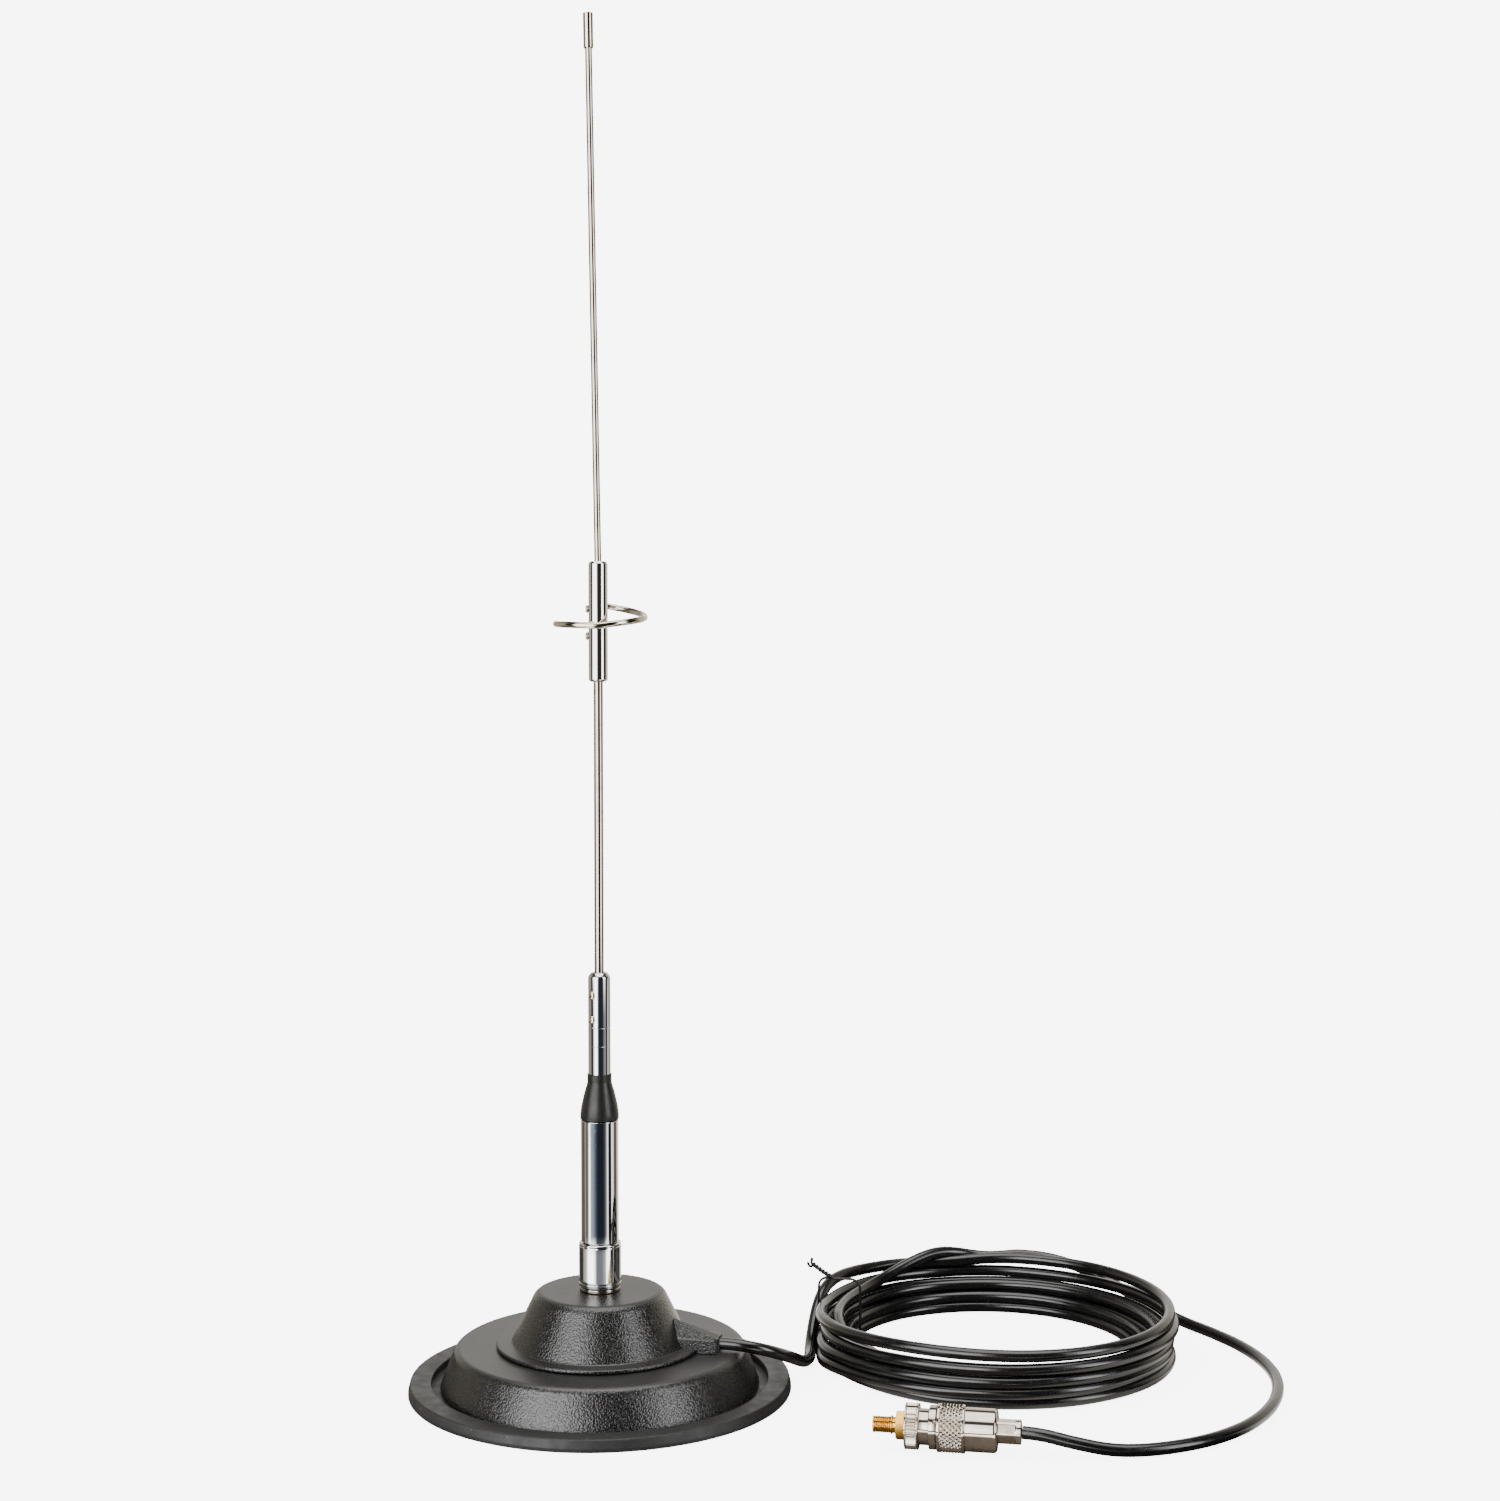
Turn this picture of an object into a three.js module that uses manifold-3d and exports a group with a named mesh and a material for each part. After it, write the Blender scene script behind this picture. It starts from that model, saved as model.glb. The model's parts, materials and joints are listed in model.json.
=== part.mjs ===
// Dual-band whip antenna with an open phasing ring, on a round magnetic base, with its coaxial
// cable, UHF plug and SMA adapter. Millimetres, +Z up, origin at the centre of the base's underside.
import * as THREE from 'three';
import { mergeVertices } from 'three/addons/utils/BufferGeometryUtils.js';
import Module from 'manifold-3d';

const wasm = await Module();
wasm.setup();

// ---------------------------------------------------------------- driving dimensions
const GAP = 0.3; // clearance between touching pieces
const MERGE = 1e-4; // vertices closer than this are one vertex
const ROUND = { large: 40, medium: 20, small: 14, tiny: 10 }; // sides of round pieces

const BASE = {
  rimRadius: 79.2,
  rimTopRadius: 78.3,
  rimHeight: 5,
  rimInner: 69.5,
  lipInner: 61,
  lipHeight: 1.6,
  domeFoot: 65.8,
  domeShoulder: 59.4,
  domeHeight: 18.5,
  domeHole: 16,
  flangeRadius: 42.8,
  flangeThickness: 1.5,
  coneFoot: 36.2,
  coneShoulder: 26.4,
  top: 41,
  wall: 2.2,
};
const MAGNET = { outer: 57, inner: 28, height: 11.3 };
const YOKE = { radius: 55.5, hole: 12, thickness: 2.3 };
const PAD = { radius: 60.7, thickness: 2 };
const POST = { circle: 22, radius: 3.4, hole: 2, angles: [60, 180, 300] };
const SCREW = { radius: 1.7, headRadius: 3.4, headHeight: 2.4, length: 17 };
const OUTLET = { angle: -12, start: 30, end: 50.6, halfWidth: 6, eaves: 25, ridge: 32.4, cableZ: 21.6 };

const SOCKET = { flange: 8.45, flangeHeight: 1.4, thread: 7.7, rear: 6.1, rearLength: 8.8, top: 53 };
const LUG = { thickness: 0.7, washer: 8.5, tabLength: 9, tabWidth: 4, hole: 1 };
const COLLAR = { radius: 8.75, bore: 8.05, neck: 6.85, bottom: 43, shoulder: 57.5, top: 61.2 };
const PIN = { radius: 1.9, contactBore: 2.25, contactRadius: 2.6 };
const TUBE = { radius: 7.75, bore: 6.8, top: 112 };
const BOOT = { radius: 8, neck: 5.05, neckFrom: 127.5, top: 131, spigot: 6.45, spigotLength: 6 };
const FERRULE = { radius: 4.65, top: 173, bore: 2.25, boreBottom: 132, bottom: 107 };
const LOWER_ROD = { radius: 1.95, bottom: 141, top: 313 };
const COUPLING = { radius: 3.95, bottom: 292.3, top: 341.4, lowerBoreTop: 314.3, upperBoreBottom: 316.4 };
const UPPER_ROD = { radius: 1.45, bore: 1.8, bottom: 319, top: 558, lean: 0.88 };
const TIP = { radius: 2.05, bottom: 548, top: 562 };
const RING = { radius: 18.1, wire: 1.3, offsetX: 0.9, backZ: 323.7, rightZ: 318.5, frontZ: 315.1, endZ: 316 };
const GRUB = { radius: 1.5, hole: 1.85 };
const LOWER_GRUBS = [153.8, 163.8]; // heights on the ferrule
const LOWER_GRUB_ANGLE = -131;
const UPPER_GRUBS = [311, 322]; // heights on the middle coupling
const UPPER_GRUB_ANGLE = 180;
const COIL_FORMER = { radius: 4.8, bottom: 68.3, top: 104, wire: 0.55, wound: 5.75, turns: 5 };

const CABLE = { radius: 2.5, sides: 8, clear: 0.35 };
const CLAMP = { circle: 25.5, length: 7, width: 10, height: 7, z: 22.3 };
const COIL = { x: 168, y: 45, outer: 76.5, inner: 53, height: 27, corner: 6 };
const PLUG = { x: 165, y: -82, z: 9.25, heading: 170 }; // cable entry, and the way that the plug points

// Cable centre lines on the floor, in millimetres.
const LEAD_ROUTE = [
  [50, -10.6, 21.6], [56, -11.9, 21.5], [62.2, -12.4, 20.6], [68.3, -10.9, 18.9], [73.8, -7.2, 16.3],
  [78.2, -1.4, 13.2], [81.4, 6, 9.8], [83.8, 14, 6.6], [85.8, 22.4, 4.1], [87.4, 31, 2.8], [88.7, 38.5, 2.8],
];
const TAIL_ROUTE = [
  [184.5, 122.8, 23], [200, 120, 22.2], [216, 114.5, 18.5], [231, 106, 12.5], [245, 95, 6.5],
  [257, 82, 3.2], [267, 66, 2.7], [275, 48, 2.7], [280, 28, 2.7], [281, 6, 2.7],
  [277, -16, 2.7], [268, -38, 2.7], [254, -58, 2.7], [236, -73, 2.7], [215, -82, 2.7],
  [199, -85, 3.6], [184, -85, 6.4], [173, -83.6, 8.7], [165.3, -82.05, 9.25],
];
const INNER_ROUTE = [
  [49.3, -10.5, 21.6], [40, -8.5, 21.6], [30, -6.4, 21.6],
  [22, -4.7, 21.6], [16, -3.4, 23.2], [11, -2.2, 26.2],
];

// ---------------------------------------------------------------- geometry helpers
const radians = THREE.MathUtils.degToRad;

// A closed body with one vertex at each place and no empty triangles.
function closedBody(geometry) {
  const bare = geometry.clone();
  bare.deleteAttribute('normal');
  bare.deleteAttribute('uv');
  const merged = mergeVertices(bare, MERGE);
  const index = merged.index.array;
  const kept = [];
  for (let i = 0; i < index.length; i += 3) {
    const [a, b, c] = [index[i], index[i + 1], index[i + 2]];
    if (a !== b && b !== c && c !== a) kept.push(a, b, c);
  }
  merged.setIndex(kept);
  return merged;
}

function toManifold(geometry) {
  const body = closedBody(geometry);
  return new wasm.Manifold(new wasm.Mesh({
    numProp: 3,
    vertProperties: body.attributes.position.array,
    triVerts: new Uint32Array(body.index.array),
  }));
}

function fromManifold(manifold) {
  const mesh = manifold.getMesh();
  const geometry = new THREE.BufferGeometry();
  geometry.setAttribute('position', new THREE.BufferAttribute(mesh.vertProperties, 3));
  geometry.setIndex(new THREE.BufferAttribute(mesh.triVerts, 1));
  return geometry;
}

// The first geometry with the others cut out of it.
function cut(body, ...tools) {
  const result = tools.reduce((solid, tool) => solid.subtract(toManifold(tool)), toManifold(body));
  return fromManifold(result);
}

function join(...bodies) {
  return fromManifold(bodies.map(toManifold).reduce((solid, body) => solid.add(body)));
}

// A profile of [radius, height] points, turned about the Z axis.
function lathe(profile, segments) {
  const points = profile.map(([r, z]) => new THREE.Vector2(r, z));
  return closedBody(new THREE.LatheGeometry(points, segments).rotateX(Math.PI / 2));
}

// A solid bar from height 0, with a bevel at each end.
function bar(radius, height, segments, bevel = 0.2) {
  return lathe([
    [0, 0], [radius - bevel, 0], [radius, bevel],
    [radius, height - bevel], [radius - bevel, height], [0, height],
  ], segments);
}

// A plain ring from height 0.
function ring(outer, inner, height, segments) {
  return lathe([[inner, 0], [outer, 0], [outer, height], [inner, height], [inner, 0]], segments);
}

// A drill of the given radius between two heights.
function drill(radius, from, to, segments = ROUND.small) {
  return lathe([[0, from], [radius, from], [radius, to], [0, to]], segments);
}

// A drill along a horizontal line at a height, pointing outward at an angle about Z.
function sideDrill(radius, from, to, height, angle) {
  return drill(radius, from, to).rotateY(Math.PI / 2).rotateZ(radians(angle)).translate(0, 0, height);
}

function arcPoints(centreR, centreZ, radius, fromDegrees, toDegrees, steps) {
  return Array.from({ length: steps + 1 }, (_, i) => {
    const angle = radians(fromDegrees + ((toDegrees - fromDegrees) * i) / steps);
    return [centreR + radius * Math.cos(angle), centreZ + radius * Math.sin(angle)];
  });
}

function polygonShape(radius, sides) {
  const corner = (i) => {
    const angle = (2 * Math.PI * i) / sides;
    return new THREE.Vector2(radius * Math.cos(angle), radius * Math.sin(angle));
  };
  return new THREE.Shape(Array.from({ length: sides }, (_, i) => corner(i)));
}

// A round bar along a smooth curve through the points.
function alongPath(points, radius, sides, steps) {
  const vectors = points.map((p) => new THREE.Vector3(...p));
  const curve = new THREE.CatmullRomCurve3(vectors, false, 'centripetal');
  const section = polygonShape(radius, sides);
  return closedBody(new THREE.ExtrudeGeometry(section, { steps, extrudePath: curve }));
}

function hexNut(acrossCorners, bore, height) {
  const section = polygonShape(acrossCorners / 2, 6);
  const prism = new THREE.ExtrudeGeometry(section, { depth: height, bevelEnabled: false });
  return cut(prism, drill(bore, -1, height + 1));
}

// ---------------------------------------------------------------- materials
function finish(color, roughness, metalness) {
  return () => new THREE.MeshStandardMaterial({ color, roughness, metalness });
}

const material = {
  rubber: finish(0x1b1b1c, 0.75, 0),
  coatedMetal: finish(0x161616, 0.4, 0.1),
  softPlastic: finish(0x1d1d1e, 0.5, 0),
  ferrite: finish(0x2c2b2a, 0.8, 0),
  steel: finish(0x9a9c9e, 0.35, 1),
  chrome: finish(0xe6e4e0, 0.06, 1),
  nickel: finish(0xd9d2c4, 0.2, 1),
  gold: finish(0xd8a63c, 0.22, 1),
  brass: finish(0xc9a75a, 0.3, 1),
  copper: finish(0xb56a3c, 0.35, 1),
  ptfe: finish(0xf0eee8, 0.6, 0),
  cable: finish(0x101011, 0.3, 0),
};

function piece(name, geometry, finishOf, parent, z = 0) {
  const mesh = new THREE.Mesh(geometry, finishOf());
  mesh.name = name;
  mesh.position.z = z;
  parent.add(mesh);
  return mesh;
}

// Moves a mesh out from the Z axis by a distance, at an angle.
function placeRound(mesh, distance, angle) {
  mesh.position.x = distance * Math.cos(radians(angle));
  mesh.position.y = distance * Math.sin(radians(angle));
}

// ---------------------------------------------------------------- magnetic base
function rubberRim() {
  const { rimRadius, rimTopRadius, rimHeight, rimInner, lipInner, lipHeight } = BASE;
  return lathe([
    [lipInner, 0], [rimRadius, 0], [rimRadius - 0.1, 1.4], [rimTopRadius, rimHeight - 0.5],
    [rimTopRadius - 0.5, rimHeight], [rimInner + 0.4, rimHeight], [rimInner, rimHeight - 0.4],
    [rimInner, lipHeight], [lipInner, lipHeight], [lipInner, 0],
  ], ROUND.large);
}

// The lower cover: a sloping wall, a rounded shoulder and a flat top with a hole in the middle.
function lowerCover() {
  const { domeFoot, domeShoulder, domeHeight, domeHole, wall } = BASE;
  const shoulder = 3;
  const centreZ = domeHeight - shoulder;
  const footZ = BASE.lipHeight + GAP;
  const shell = lathe([
    [domeHole, domeHeight - wall], [domeShoulder - shoulder, domeHeight - wall],
    ...arcPoints(domeShoulder - shoulder, centreZ, shoulder - wall, 90, 20, 2),
    [domeFoot - wall, footZ + 1], [domeFoot - wall, footZ], [domeFoot, footZ],
    ...arcPoints(domeShoulder - shoulder + 0.5, centreZ, shoulder, 20, 90, 4),
    [domeHole, domeHeight], [domeHole, domeHeight - wall],
  ], ROUND.large);
  const [from, to] = [domeHeight - wall - 1, domeHeight + 1];
  const holes = POST.angles.map((angle) => screwHole(POST.hole + GAP, from, to, angle));
  return cut(shell, ...holes);
}

function screwHole(radius, from, to, angle) {
  const x = POST.circle * Math.cos(radians(angle));
  const y = POST.circle * Math.sin(radians(angle));
  return drill(radius, from, to, ROUND.tiny).translate(x, y, 0);
}

// The upper cover: a flange, a cone with a rounded shoulder, screw posts and the gabled cable outlet.
function upperCover() {
  const { flangeRadius, flangeThickness, coneFoot, coneShoulder, domeHeight, top, wall } = BASE;
  const flangeZ = domeHeight + GAP;
  const shoulder = 3.2;
  const centreZ = top - shoulder;
  const outer = lathe([
    [0, flangeZ], [flangeRadius - 0.3, flangeZ], [flangeRadius, flangeZ + 0.5],
    [flangeRadius - 0.6, flangeZ + flangeThickness], [coneFoot + 0.8, flangeZ + flangeThickness + 0.2],
    [coneFoot - 0.3, flangeZ + flangeThickness + 1.2],
    ...arcPoints(coneShoulder - shoulder + 0.6, centreZ, shoulder, 28, 90, 4),
    [0, top],
  ], ROUND.large);
  const hollow = lathe([
    [0, flangeZ - 1], [coneFoot - wall - 0.6, flangeZ - 1], [coneFoot - wall - 0.6, flangeZ + 2],
    [coneShoulder - wall - 0.6, top - 4], [coneShoulder - wall - 3, top - wall], [0, top - wall],
  ], ROUND.large);
  const posts = POST.angles.map((angle) => screwHole(POST.radius, flangeZ, top - 1, angle));
  const postHoles = POST.angles.map((angle) => screwHole(POST.hole, flangeZ - 1, flangeZ + 14, angle));
  const shell = join(cut(outer, hollow), ...posts, cut(outletBlock(flangeZ), hollow));
  const { start, end, cableZ, angle: outletAngle } = OUTLET;
  const cableHole = sideDrill(CABLE.radius + CABLE.clear, start - 6, end + 5, cableZ, outletAngle);
  const socketHole = drill(SOCKET.rear + GAP + 0.1, top - 5, top + 1, ROUND.medium);
  return cut(shell, ...postHoles, cableHole, socketHole);
}

// A block with a roof whose ridge falls to the level of the eaves at the outer end.
function outletBlock(floor) {
  const { start, end, halfWidth, eaves, ridge, angle } = OUTLET;
  const bevel = 1.1;
  const section = [
    [-halfWidth, floor], [halfWidth, floor], [halfWidth, eaves - bevel], [halfWidth - bevel, eaves],
    [-halfWidth + bevel, eaves], [-halfWidth, eaves - bevel],
  ];
  const block = new THREE.ExtrudeGeometry(
    new THREE.Shape(section.map(([y, z]) => new THREE.Vector2(y, z))),
    { depth: end - start, bevelEnabled: false },
  );
  block.rotateX(Math.PI / 2).rotateZ(Math.PI / 2).translate(start, 0, 0);
  const roof = new THREE.BufferGeometry();
  const inset = halfWidth - bevel;
  const sunk = eaves - 2;
  const corners = [
    [start, -inset, sunk], [start, inset, sunk], [end - 1, 0, sunk],
    [start, -inset, eaves - 0.05], [start, inset, eaves - 0.05], [end - 1, 0, eaves - 0.05],
    [start, 0, ridge],
  ];
  roof.setAttribute('position', new THREE.Float32BufferAttribute(corners.flat(), 3));
  const triangles = [
    [0, 1, 2], [0, 2, 5], [0, 5, 3], [1, 4, 5], [1, 5, 2],
    [0, 3, 6], [0, 6, 4], [0, 4, 1], [3, 5, 6], [4, 6, 5],
  ];
  roof.setIndex(triangles.flat());
  return join(block, roof).rotateZ(radians(angle));
}

function coverScrew() {
  return lathe([
    [0, 0], [SCREW.headRadius - 0.3, 0], [SCREW.headRadius, 0.3],
    [SCREW.headRadius, SCREW.headHeight], [SCREW.radius, SCREW.headHeight],
    [SCREW.radius, SCREW.length], [0, SCREW.length],
  ], ROUND.tiny);
}

function yokePlate() {
  const plate = ring(YOKE.radius, YOKE.hole, YOKE.thickness, ROUND.large);
  const holes = POST.angles.map((angle) => screwHole(POST.hole + 0.3, -1, YOKE.thickness + 1, angle));
  return cut(plate, ...holes);
}

function cableClamp() {
  const { length, width, height, z } = CLAMP;
  const hole = drill(CABLE.radius + CABLE.clear, -length, length).rotateY(Math.PI / 2);
  return cut(new THREE.BoxGeometry(length, width, height), hole.translate(0, 0, OUTLET.cableZ - z));
}

function groundLug() {
  const { thickness, washer, tabLength, tabWidth, hole } = LUG;
  const tab = new THREE.BoxGeometry(tabLength, tabWidth, thickness).translate(12, 0, thickness / 2);
  const body = join(ring(washer, SOCKET.rear + GAP, thickness, ROUND.medium), tab);
  return cut(body, drill(hole, -1, thickness + 1).translate(14.5, 0, 0));
}

// The threaded socket that stands on the base: flange, front and rear barrels, stepped bore.
function socketShell() {
  const { flange, flangeHeight, thread, rear, rearLength, top } = SOCKET;
  const flangeZ = BASE.top + GAP;
  const threadZ = flangeZ + flangeHeight;
  const rearBore = 3;
  const frontBore = 5.4;
  return lathe([
    [rearBore, flangeZ - rearLength], [rear, flangeZ - rearLength], [rear, flangeZ],
    [flange - 0.2, flangeZ], [flange, flangeZ + 0.2], [flange, threadZ - 0.2], [flange - 0.2, threadZ],
    [thread - 0.4, threadZ], [thread, threadZ + 0.6], [thread, top - 0.5], [thread - 0.5, top],
    [frontBore + 0.4, top], [frontBore, top - 0.4], [frontBore, threadZ],
    [rearBore, threadZ], [rearBore, flangeZ - rearLength],
  ], ROUND.medium);
}

// A contact with a bore at its front and a solder tail at its rear; z = 0 is the front body's bottom.
function socketContact(bodyLength, tailLength) {
  const { contactBore, contactRadius } = PIN;
  return lathe([
    [0, -tailLength], [1.2, -tailLength], [1.2, 0], [contactRadius, 0], [contactRadius, bodyLength],
    [contactBore, bodyLength], [contactBore, 0.8], [0, 0.8],
  ], ROUND.small);
}

function buildBase() {
  const base = new THREE.Group();
  piece('rubber_rim', rubberRim(), material.rubber, base);
  piece('bottom_pad', bar(PAD.radius, PAD.thickness, ROUND.large, 0.4), material.softPlastic, base);
  const magnetZ = PAD.thickness + GAP;
  const magnet = ring(MAGNET.outer, MAGNET.inner, MAGNET.height, ROUND.large);
  piece('ring_magnet', magnet, material.ferrite, base, magnetZ);
  const yokeZ = magnetZ + MAGNET.height + GAP;
  piece('yoke_plate', yokePlate(), material.steel, base, yokeZ);
  piece('lower_cover', lowerCover(), material.coatedMetal, base);
  piece('upper_cover', upperCover(), material.coatedMetal, base);
  const screwZ = yokeZ - GAP - SCREW.headHeight;
  POST.angles.forEach((angle, i) => {
    const screw = piece(`cover_screw_${i + 1}`, coverScrew(), material.steel, base, screwZ);
    placeRound(screw, POST.circle, angle);
  });
  const coverUnderside = BASE.top - BASE.wall;
  const lugZ = coverUnderside - GAP - LUG.thickness;
  const nut = { acrossCorners: 17.4, height: 2.7 };
  piece('socket_shell', socketShell(), material.nickel, base);
  piece('ground_lug', groundLug(), material.brass, base, lugZ).rotation.z = radians(OUTLET.angle);
  const nutBody = hexNut(nut.acrossCorners, SOCKET.rear + GAP, nut.height);
  piece('socket_nut', nutBody, material.nickel, base, lugZ - GAP - nut.height);
  const contactZ = BASE.top + GAP + SOCKET.flangeHeight + 0.6;
  piece('socket_insulator', ring(5.1, 2.9, 7, ROUND.small), material.ptfe, base, contactZ - 0.2);
  piece('socket_contact', socketContact(7, 13), material.gold, base, contactZ);
  const clamp = piece('cable_clamp', cableClamp(), material.steel, base, CLAMP.z);
  placeRound(clamp, CLAMP.circle, OUTLET.angle);
  clamp.rotation.z = radians(OUTLET.angle);
  return base;
}

// ---------------------------------------------------------------- antenna on the collar
function couplingCollar() {
  const { radius, bore, neck, bottom, shoulder, top } = COLLAR;
  return lathe([
    [bore, 0], [radius - 0.3, 0], [radius, 0.3], [radius, top - bottom - 0.5], [radius - 0.4, top - bottom],
    [neck, top - bottom], [neck, shoulder - bottom], [bore, shoulder - bottom], [bore, 0],
  ], ROUND.medium);
}

// A flange that the collar holds, and a neck that carries the tube.
function antennaPlugBody() {
  const [bore, flange, neck, flangeHeight, length] = [4.5, 7.4, 6.5, 3.6, 13.6];
  return lathe([
    [bore, 0], [flange - 0.3, 0], [flange, 0.3], [flange, flangeHeight], [neck, flangeHeight],
    [neck, length], [bore, length], [bore, 0],
  ], ROUND.medium);
}

function plugPin(length) {
  return lathe([[0, 0], [1, 0], [PIN.radius, 1.2], [PIN.radius, length], [0, length]], ROUND.tiny);
}

function matchingCoil() {
  const { bottom, top, wire, wound, turns } = COIL_FORMER;
  const perTurn = 12;
  const height = top - bottom - 8;
  const points = Array.from({ length: turns * perTurn + 1 }, (_, i) => {
    const angle = (2 * Math.PI * i) / perTurn;
    return [wound * Math.cos(angle), wound * Math.sin(angle), (height * i) / (turns * perTurn)];
  });
  return alongPath(points, wire, 6, turns * perTurn);
}

// The black boot: a curved shoulder that narrows to a neck, and a spigot that sits in the tube.
function boot() {
  const { radius, neck, neckFrom, top, spigot, spigotLength } = BOOT;
  const bore = FERRULE.radius + GAP;
  const foot = spigotLength + GAP;
  const lift = foot - TUBE.top - GAP;
  return lathe([
    [bore, 0], [spigot, 0], [spigot, foot], [radius, foot], [radius, foot + 1.6], [radius - 0.35, foot + 4.6],
    [radius - 1, foot + 8], [radius - 1.8, foot + 11], [radius - 2.55, foot + 13.4],
    [neck, neckFrom + lift], [neck, top + lift], [bore, top + lift], [bore, 0],
  ], ROUND.medium);
}

function whipFerrule() {
  const { radius, top, bore, boreBottom, bottom } = FERRULE;
  const height = top - bottom;
  const body = lathe([
    [0, 0], [radius, 0], [radius, height - 1.7], [radius - 0.35, height - 0.8],
    [radius - 1.1, height - 0.1], [radius - 1.5, height], [bore, height],
    [bore, boreBottom - bottom], [0, boreBottom - bottom],
  ], ROUND.medium);
  const holes = LOWER_GRUBS.map((z) => sideDrill(GRUB.hole, 1.5, radius + 1, z - bottom, LOWER_GRUB_ANGLE));
  return cut(body, ...holes);
}

function addGrubScrews(prefix, heights, angle, from, to, finishOf, parent) {
  heights.forEach((z, i) => {
    const body = bar(GRUB.radius, to - from[i], ROUND.tiny);
    const screw = piece(`${prefix}_${i + 1}`, body, finishOf, parent, z);
    screw.rotation.order = 'ZYX';
    screw.rotation.set(0, Math.PI / 2, radians(angle));
    placeRound(screw, from[i], angle);
  });
}

function buildAntenna() {
  const antenna = new THREE.Group();
  piece('coupling_collar', couplingCollar(), material.chrome, antenna, COLLAR.bottom);
  const seat = SOCKET.top + GAP;
  piece('antenna_plug_body', antennaPlugBody(), material.nickel, antenna, seat);
  const insulator = ring(4.2, PIN.radius + GAP, 7, ROUND.small);
  piece('antenna_plug_insulator', insulator, material.ptfe, antenna, seat + 0.3);
  piece('antenna_plug_pin', plugPin(23.6), material.gold, antenna, 44.4);
  const tubeBottom = COLLAR.top + GAP;
  const tube = ring(TUBE.radius, TUBE.bore, TUBE.top - tubeBottom, ROUND.medium);
  piece('main_tube', tube, material.chrome, antenna, tubeBottom);
  const { bottom, top, radius } = COIL_FORMER;
  piece('coil_former', bar(radius, top - bottom, ROUND.small), material.ptfe, antenna, bottom);
  piece('matching_coil', matchingCoil(), material.copper, antenna, bottom + 4);
  piece('boot', boot(), material.softPlastic, antenna, TUBE.top - BOOT.spigotLength);
  piece('whip_ferrule', whipFerrule(), material.chrome, antenna, FERRULE.bottom);
  const tip = LOWER_ROD.radius + GAP + 0.05;
  const end = FERRULE.radius - 0.25;
  const tips = LOWER_GRUBS.map(() => tip);
  addGrubScrews('ferrule_grub_screw', LOWER_GRUBS, LOWER_GRUB_ANGLE, tips, end, material.brass, antenna);
  return antenna;
}

// ---------------------------------------------------------------- whips, coupling and phasing ring
function leaning(geometry) {
  return geometry.rotateY(radians(-UPPER_ROD.lean));
}

function middleCoupling() {
  const { radius, bottom, top, lowerBoreTop, upperBoreBottom } = COUPLING;
  const height = top - bottom;
  const body = lathe([
    [0, 0], [radius - 1, 0], [radius - 0.3, 0.35], [radius, 1.1], [radius, height - 1.1],
    [radius - 0.3, height - 0.35], [radius - 1, height], [0, height],
  ], ROUND.medium);
  const lowerBore = drill(LOWER_ROD.radius + 0.35, -1, lowerBoreTop - bottom);
  const upperBore = leaning(drill(UPPER_ROD.bore, upperBoreBottom - top, 2)).translate(0, 0, height);
  const grubHole = (z) => sideDrill(GRUB.hole, 0.5, radius + 1, z - bottom, UPPER_GRUB_ANGLE);
  const wireHole = sideDrill(RING.wire + GAP, radius - 1.6, radius + 1, RING.backZ - bottom, 90);
  return cut(body, lowerBore, upperBore, ...UPPER_GRUBS.map(grubHole), wireHole);
}

// Height of the ring's wire at an angle about Z: it falls from the back, past the right, to the front.
function ringHeight(angle) {
  const { backZ, rightZ, frontZ, endZ } = RING;
  const marks = [[90, backZ], [0, rightZ], [-90, frontZ], [-180, endZ]];
  const i = marks.findIndex(([mark]) => angle >= mark);
  if (i <= 0) return backZ;
  const [[fromAngle, fromZ], [toAngle, toZ]] = [marks[i - 1], marks[i]];
  const t = (angle - fromAngle) / (toAngle - fromAngle);
  return fromZ + (toZ - fromZ) * t;
}

// A straight link out of the coupling's back, then three quarters of a turn of wire.
function phasingRing() {
  const { radius, wire, offsetX, backZ } = RING;
  const link = [COUPLING.radius - 1.3, 8, 13].map((y) => [0, y, backZ]);
  const bend = [[1.2, 16.8, backZ]];
  const turns = [];
  for (let angle = 75; angle >= -180; angle -= 15) {
    const x = offsetX + radius * Math.cos(radians(angle));
    const y = radius * Math.sin(radians(angle));
    turns.push([x, y, ringHeight(angle)]);
  }
  return alongPath([...link, ...bend, ...turns], wire, 8, 60);
}

function tipCap() {
  const { radius, bottom, top } = TIP;
  const height = top - bottom;
  const bore = UPPER_ROD.radius + GAP;
  const depth = UPPER_ROD.top - bottom + GAP;
  return lathe([
    [bore, 0], [radius - 0.15, 0], [radius, 0.2], [radius, height - 0.5], [radius - 0.5, height],
    [0, height], [0, depth], [bore, depth], [bore, 0],
  ], ROUND.tiny);
}

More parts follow.
